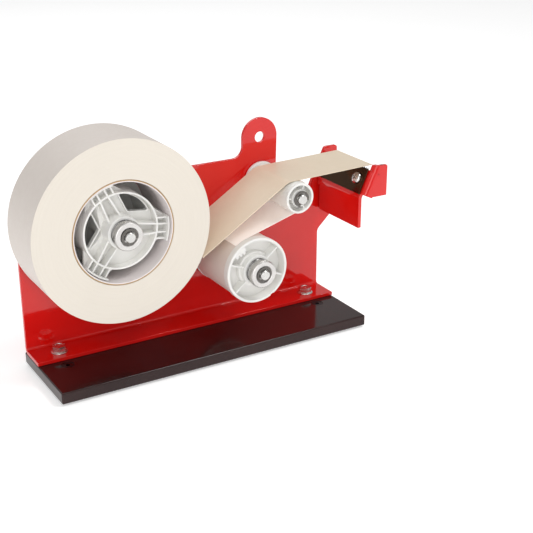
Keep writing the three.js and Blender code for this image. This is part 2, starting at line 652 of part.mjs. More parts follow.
function knurledNut(axis, front, back) {
  const { radius, depth, count, hollow } = KNURL;
  const rim = slabY(polygon(2 * count, (i) => (i % 2 ? radius - depth : radius)), front + 1, back - 0.8);
  const centre = { x: 0, z: 0 };
  const seat = front + KNURL.recess;
  const core = turned([[SHAFT.radius + GAP, seat], [hollow, seat], [hollow, front],
    [radius - 1.2, front], [radius - 0.5, front + 1], [radius - 0.5, back - 0.8], [radius - 1.2, back],
    [SHAFT.radius + GAP, back]], 0, 0, 28);
  const bore = rod(SHAFT.radius + GAP, front - 1, back + 1, centre);
  return rim.subtract(rod(8, front, back, centre)).add(core).subtract(bore).translate([axis.x, 0, axis.z]);
}

function brake(name, axis, nutFront, nutBack, springBack) {
  const washerFront = nutBack + 0.2;
  const washerBack = washerFront + WASHER.thickness;
  addPart(`${name}_tension_nut`, knurledNut(axis, nutFront, nutBack), STEEL);
  addPart(`${name}_pressure_washer`,
    tube(SHAFT.radius + GAP, WASHER.radius, washerFront, washerBack, axis, 28), STEEL);
  addPart(`${name}_spring`, spring(axis, washerBack + 0.2, springBack), STEEL);
}

brake('supply', MAIN, ...NUTS.supply, HUB.bossFront + SPRING.depth - 0.2);
brake('takeup', TAKEUP, ...NUTS.takeup, DRUM.bossFront + SPRING.depth - 0.2);

// ---------- liner take-up: pulley, felt clutch and drum ----------
function takeupDrum() {
  const centre = { x: 0, z: 0 };
  const { front, back, rim, tube: radius, wall, boss, bossFront } = DRUM;
  const inner = radius - wall;
  const shell = turned([[inner, front], [rim, front], [rim, TAPE.front - 0.4], [radius, TAPE.front - 0.4],
    [radius, TAPE.back + 0.2], [rim, TAPE.back + 0.2], [rim, back], [inner, back]], 0, 0);
  const floorFront = front + 9;
  const pieces = [
    shell,
    tube(boss - 1, radius - wall / 2, floorFront, floorFront + 2.2, centre),
    tube(SHAFT.radius + GAP, boss, bossFront, back - 3, centre, 28),
  ];
  for (let i = 0; i < 6; i += 1) {
    const angle = THREE.MathUtils.degToRad(40 + 60 * i);
    pieces.push(lobeBar(angle, 0, 1.3, boss - 1, inner + 0.6, front + 1.4, floorFront + 1));
  }
  // comb of small steps inside the rim that grips the start of the liner
  for (const [degrees, reach] of [[120, 3], [124.5, 4.8], [129, 3], [133, 4], [137.5, 1.8], [141.5, 2.6]]) {
    const angle = THREE.MathUtils.degToRad(degrees);
    pieces.push(lobeBar(angle, 0, 2.1, inner - reach, inner + 0.6, front + 0.2, floorFront + 1));
  }
  let body = joinAll(pieces);
  const seat = tube(SHAFT.radius - 1, SPRING.seat + 0.1, bossFront - 1, bossFront + SPRING.depth, centre, 28);
  body = body.subtract(seat);
  const nick = lobeBar(THREE.MathUtils.degToRad(-60), 0, 3, rim - 1, rim + 1, front - 1, front + 2.4);
  body = body.subtract(nick);
  return body.translate([TAKEUP.x, 0, TAKEUP.z]);
}

addPart('takeup_pulley', pulley(TAKEUP, BELT.takeup), WHITE);
addPart('clutch_felt', tube(SHAFT.radius + GAP, 9.5, -7.7, -5.7, TAKEUP, 28), FELT);
addPart('takeup_drum', takeupDrum(), WHITE);
addPart('liner_winding',
  tube(DRUM.tube + GAP, LINER.winding, TAPE.front, TAPE.back, TAKEUP, 32), LINER_PAPER);

// ---------- drive belt ----------
// outline of a belt round both pulleys, at an offset from the pitch line
function beltLoop(offset, Kind) {
  const dx = TAKEUP.x - MAIN.x;
  const dz = TAKEUP.z - MAIN.z;
  const heading = Math.atan2(dz, dx);
  const spread = Math.acos((BELT.main - BELT.takeup) / Math.hypot(dx, dz));
  const loop = new Kind();
  loop.absarc(MAIN.x, MAIN.z, BELT.main + offset, heading + spread, heading - spread + 2 * Math.PI, false);
  loop.absarc(TAKEUP.x, TAKEUP.z, BELT.takeup + offset, heading - spread, heading + spread, false);
  loop.closePath();
  return loop;
}

function driveBelt() {
  const outline = beltLoop(BELT.half, THREE.Shape);
  outline.holes.push(beltLoop(-BELT.half, THREE.Path));
  return slabY(outline, BELT.y - BELT.half, BELT.y + BELT.half, 14);
}

addPart('drive_belt', driveBelt(), RUBBER);

// ---------- guide roller ----------
function guideRoller() {
  const centre = { x: 0, z: 0 };
  const { front, back, radius, wall, flange, boss } = ROLLER;
  const inner = radius - wall;
  const shell = turned([[inner, front], [radius, front], [radius, back - 2.6], [flange, back - 2.6],
    [flange, back], [inner, back]], 0, 0);
  const pieces = [
    shell,
    tube(SHAFT.radius + GAP, boss, front + 0.4, back, centre, 24),
    tube(boss - 0.8, inner + 0.8, front + 12, front + 14, centre, 24),
  ];
  for (let i = 0; i < 3; i += 1) {
    const angle = THREE.MathUtils.degToRad(60 + 120 * i);
    pieces.push(lobeBar(angle, 0, 1.4, boss - 0.8, inner + 0.8, front + 2.4, front + 13));
  }
  return joinAll(pieces).translate([GUIDE.x, 0, GUIDE.z]);
}

addPart('guide_roller', guideRoller(), WHITE);

// ---------- tape and liner webs ----------
function arcPoints({ x, z }, radius, from, to, steps) {
  const points = [];
  for (let i = 0; i <= steps; i += 1) {
    const angle = from + (to - from) * i / steps;
    points.push(new THREE.Vector2(x + radius * Math.cos(angle), z + radius * Math.sin(angle)));
  }
  return points;
}

// from the supply roll, over the guide roller and across the blade
function tapeWeb() {
  const radius = ROLLER.radius + GAP + TAPE.thickness / 2;
  const peel = THREE.MathUtils.degToRad(-26.5);
  const start = arcPoints(MAIN, TAPE.radius + 0.9, peel, peel, 1)[0];
  const dx = GUIDE.x - start.x;
  const dz = GUIDE.z - start.y;
  // the stiff tape stands off the roller on the way up and settles on it at the top
  const climb = Math.atan2(dz, dx) + Math.asin((radius + TAPE.lift) / Math.hypot(dx, dz));
  const rise = THREE.MathUtils.degToRad(1.7);
  const slip = TAPE.lift / Math.sin(climb - rise);
  const bend = { x: GUIDE.x - slip * Math.cos(rise), z: GUIDE.z - slip * Math.sin(rise) };
  const over = arcPoints(bend, radius, climb + Math.PI / 2, rise + Math.PI / 2, 8);
  const last = over[over.length - 1];
  const run = 281 - last.x;
  const end = new THREE.Vector2(last.x + run, last.y + run * Math.tan(rise));
  return slabY(webShape([start, ...over, end], TAPE.thickness), TAPE.front, TAPE.back);
}

// from under the tape, round the guide roller and down to the top of the drum
function linerWeb() {
  const radius = ROLLER.radius + GAP + LINER.thickness / 2;
  const drum = LINER.winding + GAP + LINER.thickness / 2;
  const dx = TAKEUP.x - GUIDE.x;
  const dz = TAKEUP.z - GUIDE.z;
  const heading = Math.atan2(dz, dx) + 2 * Math.PI - Math.asin((radius + drum) / Math.hypot(dx, dz));
  const quarter = Math.PI / 2;
  const from = THREE.MathUtils.degToRad(72);
  const round = arcPoints(GUIDE, radius, from, heading + quarter - 2 * Math.PI, 20);
  const landing = arcPoints(TAKEUP, drum, heading - quarter, heading - quarter + 0.35, 4);
  return slabY(webShape([...round, ...landing], LINER.thickness), TAPE.front, TAPE.back);
}

addPart('tape_web', tapeWeb(), ADHESIVE);
addPart('liner_web', linerWeb(), LINER_PAPER);

// ---------- origin: bottom centre of the whole object ----------
const left = MAIN.x - TAPE.radius;
const front = SHAFTS[1].front;
dispenser.position.set(-(left + FRONT_EAR.right) / 2, -(front + SHAFT.rear) / 2, FOOT.height);

export default dispenser;
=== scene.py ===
"""Bench dispenser for liner-backed tape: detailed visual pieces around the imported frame."""
import math
import random

import bpy
import bmesh
from mathutils import Matrix, Vector
from mathutils.geometry import delaunay_2d_cdt


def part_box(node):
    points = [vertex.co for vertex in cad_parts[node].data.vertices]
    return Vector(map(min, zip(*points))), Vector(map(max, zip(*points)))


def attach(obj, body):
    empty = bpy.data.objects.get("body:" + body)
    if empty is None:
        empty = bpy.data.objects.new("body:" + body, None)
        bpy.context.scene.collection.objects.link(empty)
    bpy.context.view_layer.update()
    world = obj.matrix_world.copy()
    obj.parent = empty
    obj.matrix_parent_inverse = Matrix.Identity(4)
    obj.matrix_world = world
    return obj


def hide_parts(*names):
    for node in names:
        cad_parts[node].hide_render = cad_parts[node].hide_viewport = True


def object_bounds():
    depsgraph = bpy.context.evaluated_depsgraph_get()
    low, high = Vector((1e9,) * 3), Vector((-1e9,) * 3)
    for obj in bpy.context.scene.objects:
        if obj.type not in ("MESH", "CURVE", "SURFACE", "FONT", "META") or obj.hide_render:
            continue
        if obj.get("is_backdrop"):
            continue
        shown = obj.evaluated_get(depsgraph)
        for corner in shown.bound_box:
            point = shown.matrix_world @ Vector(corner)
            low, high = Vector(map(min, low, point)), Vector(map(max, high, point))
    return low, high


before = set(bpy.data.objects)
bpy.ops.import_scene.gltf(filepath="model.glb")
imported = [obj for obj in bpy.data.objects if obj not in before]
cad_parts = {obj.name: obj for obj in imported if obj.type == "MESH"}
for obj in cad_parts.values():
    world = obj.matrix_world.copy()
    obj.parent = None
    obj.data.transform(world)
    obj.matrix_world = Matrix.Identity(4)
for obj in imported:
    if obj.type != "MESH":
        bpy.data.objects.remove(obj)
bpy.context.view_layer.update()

MM = 0.001
RAD = math.radians

# The pieces are laid out from the base's left end, the frame plate's front face and the base's underside.
base_low, base_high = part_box("base_plate")
BASE_FRONT = -74.0
ORIGIN = Vector((base_low.x, base_low.y - BASE_FRONT * MM, base_low.z))
BASE_LENGTH = (base_high.x - base_low.x) / MM


def centre_of(node):
    """(x, z) of a round node's axis, in millimetres of the layout."""
    low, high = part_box(node)
    middle = (low + high) / 2 - ORIGIN
    return middle.x / MM, middle.z / MM


def y_range(node):
    low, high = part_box(node)
    return (low.y - ORIGIN.y) / MM, (high.y - ORIGIN.y) / MM


SUPPLY = centre_of("tape_core")
TAKEUP = centre_of("liner_winding")
GUIDE = centre_of("guide_shaft")
ROLL_RADIUS = 69.7
SHEET = 3.0
TAPE_FRONT, TAPE_BACK = -55.7, -5.9
ROLLER_RADIUS, CLEARANCE, WINDING_RADIUS = 12.3, 0.3, 26.1


# ---------- mesh helpers
def arc(cx, cz, radius, start, end, steps):
    return [
        (cx + radius * math.cos(RAD(start + (end - start) * i / steps)),
         cz + radius * math.sin(RAD(start + (end - start) * i / steps)))
        for i in range(steps + 1)
    ]


def circle(cx, cz, radius, steps=64, turn=0.0):
    return arc(cx, cz, radius, turn, turn + 360, steps)[:-1]


def regular(count, across_flats, turn=0.0):
    return circle(0, 0, across_flats / 2 / math.cos(math.pi / count), count, turn)


def spot(axis, radius, turn, y):
    """A point at a radius and a fraction of a turn round an axis along Y."""
    return metres((axis[0] + radius * math.cos(2 * math.pi * turn), y,
                   axis[1] + radius * math.sin(2 * math.pi * turn)))


def join_rings(bm, pairs, steps):
    for a, b in pairs:
        for k in range(steps):
            m = (k + 1) % steps
            bm.faces.new([a[k], b[k], b[m], a[m]])


def inside(point, loop):
    x, y = point
    hit = False
    j = len(loop) - 1
    for i in range(len(loop)):
        xi, yi = loop[i]
        xj, yj = loop[j]
        if (yi > y) != (yj > y) and x < (xj - xi) * (y - yi) / (yj - yi) + xi:
            hit = not hit
        j = i
    return hit


def region(solids, voids=()):
    """Triangles of the union of some outlines less some others."""
    points, edges = [], []
    for loop in [*solids, *voids]:
        first = len(points)
        points += [Vector(p) for p in loop]
        edges += [(first + i, first + (i + 1) % len(loop)) for i in range(len(loop))]
    verts, _, faces, *_ = delaunay_2d_cdt(points, edges, [], 0, 1e-5)
    kept = []
    for face in faces:
        c = sum((verts[i] for i in face), Vector((0, 0))) / len(face)
        if any(inside(c, s) for s in solids) and not any(inside(c, v) for v in voids):
            kept.append(face)
    return verts, kept


def to_object(name, bm):
    bmesh.ops.recalc_face_normals(bm, faces=bm.faces)
    mesh = bpy.data.meshes.new(name)
    bm.to_mesh(mesh)
    bm.free()
    obj = bpy.data.objects.new(name, mesh)
    bpy.context.scene.collection.objects.link(obj)
    return obj


def on_y(u, v, w):
    """An outline in X and Z, thickened along Y."""
    return (u, w, v)


def at_axis(axis):
    return lambda u, v, w: (axis[0] + u, w, axis[1] + v)


def metres(p):
    return Vector(p) * MM + ORIGIN


def slab(name, solids, voids, w0, w1, place=on_y, bevel=0.3, segments=2):
    """A flat piece from its outlines, with its edges rounded."""
    verts, faces = region(solids, voids)
    bm = bmesh.new()
    low = [bm.verts.new(metres(place(v.x, v.y, w0))) for v in verts]
    high = [bm.verts.new(metres(place(v.x, v.y, w1))) for v in verts]
    count = {}
    for face in faces:
        bm.faces.new([low[i] for i in reversed(face)])
        bm.faces.new([high[i] for i in face])
        for i, a in enumerate(face):
            b = face[(i + 1) % len(face)]
            count[(a, b)] = count.get((a, b), 0) + 1
    for a, b in count:
        if (b, a) not in count:
            bm.faces.new([low[a], low[b], high[b], high[a]])
    loose = [v for v in bm.verts if not v.link_faces]
    bmesh.ops.delete(bm, geom=loose, context="VERTS")
    bmesh.ops.dissolve_limit(bm, angle_limit=0.002, verts=bm.verts, edges=bm.edges)
    obj = to_object(name, bm)
    if bevel:
        round_edges(obj, bevel, segments)
    return obj


def lathe(name, profile, axis, steps=96, closed=True, place=None):
    """A turned piece. Profile points are (radius, y) or (radius, y, fillet)."""
    points = rounded(profile, closed)
    bm = bmesh.new()
    rings = []
    for radius, y in points:
        if radius < 1e-6:
            rings.append([bm.verts.new(metres((axis[0], y, axis[1])))])
            continue
        rings.append([bm.verts.new(spot(axis, radius, k / steps, y)) for k in range(steps)])
    pairs = list(zip(rings, rings[1:]))
    if closed:
        pairs.append((rings[-1], rings[0]))
    for a, b in pairs:
        for k in range(steps):
            m = (k + 1) % steps
            if len(a) == 1 and len(b) == 1:
                continue
            if len(a) == 1:
                bm.faces.new([a[0], b[k], b[m]])
            elif len(b) == 1:
                bm.faces.new([a[k], b[0], a[m]])
            else:
                bm.faces.new([a[k], b[k], b[m], a[m]])
    obj = to_object(name, bm)
    if place is not None:
        move(obj, place)
    return obj


def rounded(profile, closed):
    """The profile with its marked corners turned into short arcs."""
    out = []
    n = len(profile)
    for i, point in enumerate(profile):
        size = point[2] if len(point) > 2 else 0
        here = Vector(point[:2])
        if not size or (not closed and i in (0, n - 1)):
            out.append((here.x, here.y))
            continue
        before = Vector(profile[i - 1][:2]) - here
        after = Vector(profile[(i + 1) % n][:2]) - here
        cut = min(size, before.length * 0.49, after.length * 0.49)
        a = here + before.normalized() * cut
        b = here + after.normalized() * cut
        for k in range(5):
            t = k / 4
            p = a * (1 - t) ** 2 + here * 2 * t * (1 - t) + b * t ** 2
            out.append((p.x, p.y))
    return out


def move(obj, change):
    """Moves a mesh's points by a function of layout millimetres."""
    for v in obj.data.vertices:
        p = (v.co - ORIGIN) / MM
        v.co = metres(change(p))


def settle(obj):
    """Makes the piece's modifiers part of its mesh."""
    graph = bpy.context.evaluated_depsgraph_get()
    mesh = bpy.data.meshes.new_from_object(obj.evaluated_get(graph))
    obj.modifiers.clear()
    old = obj.data
    obj.data = mesh
    bpy.data.meshes.remove(old)
    return obj


def round_edges(obj, width, segments=2, angle=32):
    bevel = obj.modifiers.new("round", "BEVEL")
    bevel.width = width * MM
    bevel.segments = segments
    bevel.limit_method = "ANGLE"
    bevel.angle_limit = RAD(angle)
    bevel.use_clamp_overlap = True
    settle(obj)
    return obj


def combine(obj, others, operation):
    for other in others:
        mod = obj.modifiers.new("join", "BOOLEAN")
        mod.operation = operation
        mod.solver = "EXACT"
        mod.object = other
        settle(obj)
        bpy.data.objects.remove(other)
    return obj


def union(obj, *others):
    return combine(obj, others, "UNION")


def weld(obj, pieces):
    union(obj, *[outward(piece) for piece in pieces])


def cut(obj, *others):
    return combine(obj, others, "DIFFERENCE")


def shade(obj, angle=38):
    for poly in obj.data.polygons:
        poly.use_smooth = True
    obj.data.set_sharp_from_angle(angle=RAD(angle))
    normal = obj.modifiers.new("normals", "WEIGHTED_NORMAL")
    normal.keep_sharp = True
    normal.weight = 80
    return obj


def finish_piece(obj, node, body, slot, *materials, angle=38):
    """Shades the piece, gives it its materials, ties it to its body and hides the CAD part it replaces."""
    obj.data.materials.clear()
    for mat in materials:
        obj.data.materials.append(mat)
    shade(obj, angle)
    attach(obj, body)
    nodes = [node] if isinstance(node, str) else node
    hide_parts(*nodes)
    return obj


# ---------- materials
class Nodes:
    """A material's node tree with short calls for what the materials below share."""

    def __init__(self, name):
        self.mat = bpy.data.materials.new(name)
        self.mat.use_nodes = True
        self.tree = self.mat.node_tree
        self.bsdf = self.tree.nodes["Principled BSDF"]
        self.coords = self.tree.nodes.new("ShaderNodeTexCoord").outputs["Object"]

    def link(self, a, b):
        self.tree.links.new(a, b)

    def feed(self, socket, value):
        """Sets a socket's constant, or links another node's output to it."""
        if isinstance(value, tuple) and socket.type == "RGBA":
            value = (*value, 1)
        if isinstance(value, (int, float, tuple)):
            socket.default_value = value
        else:
            self.link(value, socket)

    def node(self, kind, inputs=None, **settings):
        made = self.tree.nodes.new(kind)
        for key, value in settings.items():
            setattr(made, key, value)
        for key, value in (inputs or {}).items():
            self.feed(made.inputs[key], value)
        return made

    def noise(self, scale, detail=3.0, rough=0.55, vector=None):
        inputs = {"Scale": scale, "Detail": detail, "Roughness": rough, "Vector": vector or self.coords}
        return self.node("ShaderNodeTexNoise", inputs).outputs["Fac"]

    def stretch(self, scale):
        return self.node("ShaderNodeMapping", {"Scale": scale, "Vector": self.coords}).outputs["Vector"]

    def math(self, operation, a, b=None):
        made = self.node("ShaderNodeMath", operation=operation)
        for i, value in enumerate((a, b)):
            if value is not None:
                self.feed(made.inputs[i], value)
        return made.outputs[0]

    def span(self, fac, low, high, from_low=0.3, from_high=0.7):
        inputs = {"From Min": from_low, "From Max": from_high, "To Min": low, "To Max": high, "Value": fac}
        return self.node("ShaderNodeMapRange", inputs).outputs["Result"]

    def mix(self, fac, a, b):
        made = self.node("ShaderNodeMix", data_type="RGBA")
        self.feed(made.inputs["Factor"], fac)
        for key, value in (("A", a), ("B", b)):
            self.feed([s for s in made.inputs if s.name == key and s.type == "RGBA"][0], value)
        return [s for s in made.outputs if s.type == "RGBA"][0]

    def bump(self, height, distance, normal=None):
        inputs = {"Strength": 1.0, "Distance": distance * MM, "Height": height}
        if normal is not None:
            inputs["Normal"] = normal
        return self.node("ShaderNodeBump", inputs).outputs["Normal"]

    def radius(self, axis):
        """Distance from a turned piece's axis, in millimetres."""
        parts = self.node("ShaderNodeSeparateXYZ")
        self.link(self.coords, parts.inputs[0])
        middle = metres((axis[0], 0, axis[1]))
        dx = self.math("SUBTRACT", parts.outputs["X"], middle.x)
        dz = self.math("SUBTRACT", parts.outputs["Z"], middle.z)
        square = self.math("ADD", self.math("MULTIPLY", dx, dx), self.math("MULTIPLY", dz, dz))
        return self.math("MULTIPLY", self.math("SQRT", square), 1000.0), parts.outputs["Y"]

    def rings(self, axis, per_mm, detail=4.0, axial=0.0):
        """Noise that runs round a turned piece's axis in fine circles."""
        radius, along = self.radius(axis)
        w = self.math("MULTIPLY", radius, per_mm)
        if axial:
            w = self.math("ADD", w, self.math("MULTIPLY", along, axial * 1000.0))
        made = self.node("ShaderNodeTexNoise", noise_dimensions="1D")
        for key, value in (("Scale", 1.0), ("Detail", detail), ("W", w)):
            self.feed(made.inputs[key], value)
        return made.outputs["Fac"]

    def set(self, **values):
        for key, value in values.items():
            self.feed(self.bsdf.inputs[key.replace("_", " ")], value)
        return self.mat


def dim(colour, by):
    return tuple(c * by for c in colour)


def enamel(name, colour, shade_colour, rough, peel, specks=0.1, shine=0.42, coat=0.12):
    """Thick gloss enamel: orange peel, faint dust specks and small changes of depth."""
    n = Nodes(name)
    depth = n.span(n.noise(14, 4), 0.0, 1.0)
    base = n.mix(depth, colour, shade_colour)
    dust = n.math("GREATER_THAN", n.noise(2600, 1), 0.76)
    base = n.mix(n.math("MULTIPLY", dust, specks), base, (0.8, 0.6, 0.55))
    normal = n.bump(n.noise(420, 2), peel)
    normal = n.bump(n.noise(45, 2), peel * 2.5, normal=normal)
    return n.set(Base_Color=base, Roughness=n.span(n.noise(90, 3), rough * 0.75, rough * 1.35),
                 Specular_IOR_Level=shine, Coat_Weight=coat, Coat_Roughness=0.03, Normal=normal)


def turned_metal(name, axis, colour, rough, per_mm=7.0, axial=9.0, depth=0.012):
    """Lathe-turned steel with fine circular tool marks."""
    n = Nodes(name)
    marks = n.rings(axis, per_mm, 5, axial)
    tint = n.mix(n.span(n.noise(120, 3), 0, 1), colour, dim(colour, 0.86))
    tint = n.mix(n.span(marks, 0, 0.35), tint, dim(colour, 0.7))
    return n.set(Base_Color=tint, Metallic=1.0,
                 Roughness=n.math("ADD", n.span(marks, rough * 0.7, rough * 1.4),
                                  n.span(n.noise(300, 2), 0, 0.05)),
                 Normal=n.bump(marks, depth))


def plain_metal(name, colour, rough, scale=(60, 60, 900), depth=0.01):
    """Rolled or stamped metal with a faint grain."""
    n = Nodes(name)
    grain = n.noise(1.0, 4, vector=n.stretch(scale))
    spots = n.noise(180, 4)
    tint = n.mix(n.span(spots, 0, 0.6), colour, dim(colour, 0.72))
    return n.set(Base_Color=tint, Metallic=1.0, Roughness=n.span(grain, rough * 0.7, rough * 1.4),
                 Normal=n.bump(grain, depth))


def moulded(name, colour, rough=0.34):
    """White injection-moulded plastic: satin skin, faint flow marks and handling dust."""
    n = Nodes(name)
    flow = n.noise(35, 4)
    base = n.mix(n.span(flow, 0, 1), colour, dim(colour, 0.95))
    dust = n.math("GREATER_THAN", n.noise(1800, 2), 0.72)
    base = n.mix(n.math("MULTIPLY", dust, 0.08), base, (0.45, 0.42, 0.4))
    normal = n.bump(n.noise(1500, 2), 0.006)
    return n.set(Base_Color=base, Roughness=n.span(n.noise(200, 3), rough * 0.85, rough * 1.25),
                 Subsurface_Weight=0.12, Subsurface_Radius=(0.004, 0.004, 0.0035),
                 Subsurface_Scale=0.6, Normal=normal)


def wound_edge(name, axis, colour, dark):
    """Side of a wound roll: each layer's edge shows as a faint ring, with a few darker ones."""
    n = Nodes(name)
    fine = n.rings(axis, 9.0, 3)
    broad = n.rings(axis, 0.55, 2)
    patch = n.noise(24, 3)
    base = n.mix(n.span(broad, 0, 0.3, 0.35, 0.7), colour, dark)
    base = n.mix(n.span(fine, 0, 0.2, 0.4, 0.75), base, dark)
    base = n.mix(n.span(patch, 0, 0.3), base, dim(colour, 1.03))
    normal = n.bump(fine, 0.03)
    normal = n.bump(n.noise(2200, 3), 0.012, normal=normal)
    return n.set(Base_Color=base, Roughness=n.span(fine, 0.5, 0.68), Specular_IOR_Level=0.35, Normal=normal)


def paper(name, colour, dark, rough, fibre=0.01, sheen=0.0, along=(40, 900, 40), painted_glow=0.0):
    """Coated paper: fibres, slight mottling and faint lines along the web; the emission strength given is
    painted light that stands in for light let through the paper.
    """
    n = Nodes(name)
    mottle = n.noise(160, 5, 0.65)
    base = n.mix(n.span(mottle, 0, 0.6), colour, dark)
    lines = n.noise(1.0, 3, vector=n.stretch(along))
    base = n.mix(n.span(lines, 0, 0.3), base, dim(colour, 0.96))
    wave = n.bump(n.noise(22, 2), 0.12)
    normal = n.bump(n.noise(2400, 4), fibre, normal=wave)
    return n.set(Base_Color=base, Roughness=n.span(n.noise(500, 3), rough * 0.85, rough * 1.2),
                 Specular_IOR_Level=0.4, Sheen_Weight=sheen, Normal=normal,
                 Emission_Color=colour, Emission_Strength=painted_glow)


def rubber(name, colour=(0.018, 0.018, 0.02)):
    n = Nodes(name)
    base = n.mix(n.span(n.noise(500, 4), 0, 1), colour, dim(colour, 1.9))
    return n.set(Base_Color=base, Roughness=n.span(n.noise(300, 3), 0.55, 0.8),
                 Normal=n.bump(n.noise(1400, 3), 0.03))


def felt_wool(name):
    n = Nodes(name)
    base = n.mix(n.span(n.noise(900, 5), 0, 1), (0.15, 0.14, 0.125), (0.28, 0.26, 0.235))
    return n.set(Base_Color=base, Roughness=0.95, Sheen_Weight=0.4, Normal=n.bump(n.noise(1600, 5), 0.25))


RED = enamel("red_enamel", (0.74, 0.008, 0.005), (0.64, 0.005, 0.004), 0.06, 0.004, 0.04, 0.5, 0.2)
# The black enamel's red-brown tint is painted reflection of the red frame plate in the glossy black base.
BLACK = enamel("black_enamel", (0.018, 0.006, 0.006), (0.028, 0.010, 0.009), 0.12, 0.028, 0.16, 0.3, 0.08)
BLUED = plain_metal("black_oxide", (0.04, 0.04, 0.042), 0.36)
STAINLESS = plain_metal("stainless", (0.72, 0.71, 0.69), 0.2, (300, 300, 300))
CLIP_STEEL = plain_metal("clip_steel", (0.16, 0.15, 0.14), 0.3, (300, 300, 300))
# The blade steel's brown tint is painted reflection: the beige tape above shows in the dark glossy steel.
BLADE_METAL = plain_metal("blade_steel", (0.085, 0.046, 0.026), 0.1, (30, 700, 30), 0.004)
SPRING_WIRE = plain_metal("spring_wire", (0.5, 0.49, 0.48), 0.25, (400, 400, 400))
WHITE = moulded("white_moulding", (0.84, 0.83, 0.80))
CARD = paper("core_board", (0.50, 0.32, 0.16), (0.40, 0.25, 0.12), 0.85, 0.05)
CORE_LINING = paper("core_lining", (0.80, 0.74, 0.73), (0.72, 0.67, 0.66), 0.8, 0.03)
ROLL_SIDE = wound_edge("wound_edge", SUPPLY, (0.745, 0.69, 0.61), (0.71, 0.65, 0.565))
ROLL_FACE = paper("roll_liner_face", (0.72, 0.66, 0.61), (0.68, 0.61, 0.56), 0.5, 0.008)
TAPE_FACE = paper("tape_adhesive", (0.78, 0.66, 0.50), (0.74, 0.62, 0.46), 0.42, 0.006, 0.1,
                  (900, 60, 900))
# Painted light: the release liner between the rollers is lighter than the same paper wound on the drum and
# glows, to lift the shade under the tape web.
LINER = paper("release_liner", (0.90, 0.83, 0.79), (0.86, 0.79, 0.75), 0.48, 0.008, painted_glow=0.22)
WINDING = paper("wound_liner", (0.80, 0.72, 0.66), (0.76, 0.68, 0.62), 0.48, 0.008)
RUBBER = rubber("rubber")
BELT_RUBBER = rubber("belt_rubber", (0.03, 0.028, 0.026))
FELT = felt_wool("felt")


def steel_piece(obj, node):
    finish_piece(obj, node, "frame", "stainless", STAINLESS, angle=30)


# ---------- base, feet and screws
BASE_DEPTH, BASE_HEIGHT = 79, 9
SCREW_X, SCREW_Y = 20.6, -32.7
BOLT_X, BOLT_Y = 21.0, -14.0


def right_side(x):
    return BASE_LENGTH - x


def base_plate():
    outline = [(0, 0), (BASE_LENGTH, 0), (BASE_LENGTH, BASE_DEPTH), (0, BASE_DEPTH)]
    place = lambda u, v, w: (u, BASE_FRONT + v, w)
    body = slab("base_plate_detail", [outline], [], 0, BASE_HEIGHT, place, bevel=0)
    round_edges(body, 1.1, 3)
    cone = [(0, -1), (2.7, -1), (2.7, 6.1), (5.0, 8.7), (5.0, 10), (0, 10)]
    hole = [(0, -1), (3.2, -1), (3.2, 10), (0, 10)]
    cutters = []
    for profile, x, y, steps in ((cone, SCREW_X, SCREW_Y, 48), (hole, BOLT_X, BOLT_Y, 32)):
        for at in (x, right_side(x)):
            turned = lambda p, at=at, y=y: (at + p.x, y + p.z, p.y)
            cutters.append(outward(lathe("cutter", profile, (0, 0), steps, False, turned)))
    cut(body, *cutters)
    finish_piece(body, "base_plate", "frame", "black_enamel", BLACK)


def upright(name, profile, x, y, steps=48):
    """A turned piece that stands along Z at x, y."""
    obj = lathe(name, profile, (0, 0), steps, profile[0][0] > 0, lambda p: (x + p.x, y + p.z, p.y))
    return outward(obj)


def outward(obj):
    bm = bmesh.new()
    bm.from_mesh(obj.data)
    bmesh.ops.recalc_face_normals(bm, faces=bm.faces)
    bm.to_mesh(obj.data)
    bm.free()
    return obj


def base_screw(side, x):
    y = SCREW_Y
    profile = [(0, 1.5), (2.3, 1.5, 0.3), (2.35, 6.2), (4.6, 8.45, 0.1), (4.7, 8.75, 0.1), (0, 8.75)]
    body = upright(f"base_screw_{side}_detail", profile, x, y)
    socket = slab("socket", [regular(6, 3.2)], [], 6.9, 9.5, lambda u, v, w: (x + u, y + v, w), bevel=0)
    cut(body, socket)
    finish_piece(body, f"base_screw_{side}", "frame", "black_oxide", BLUED, angle=28)


def foot(side, x, y):
    body = upright(f"{side}_detail", [(0, -1.5), (7.6, -1.5, 0.6), (8, -0.1, 0.2), (0, -0.1)], x, y, 64)
    finish_piece(body, side, "frame", "rubber", RUBBER)


base_plate()
for side, mirror in (("left", lambda x: x), ("right", right_side)):
    base_screw(side, mirror(SCREW_X))
    foot(f"foot_front_{side}", mirror(14), -62)
    foot(f"foot_rear_{side}", mirror(14), -7)


# ---------- folded frame plate
LEAN = 25.0
TAN_LEAN = math.tan(RAD(LEAN))


def soften(loop, corners, steps=6):
    """Replaces the marked corners of a loop by arcs; corners maps index to radius."""
    out = []
    for i, point in enumerate(loop):
        size = corners.get(i, 0)
        here = Vector(point)
        if not size:
            out.append(tuple(here))
            continue
        before = (Vector(loop[i - 1]) - here).normalized()
        after = (Vector(loop[(i + 1) % len(loop)]) - here).normalized()
        half = before.angle(after) / 2
        reach = size / math.tan(half)
        centre = here + (before + after).normalized() * (size / math.sin(half))
        a = here + before * reach - centre
        b = here + after * reach - centre
        start = math.atan2(a.y, a.x)
        turn = (math.atan2(b.y, b.x) - start + math.pi) % (2 * math.pi) - math.pi
        for k in range(steps + 1):
            t = start + turn * k / steps
            out.append((centre.x + size * math.cos(t), centre.y + size * math.sin(t)))
    return out


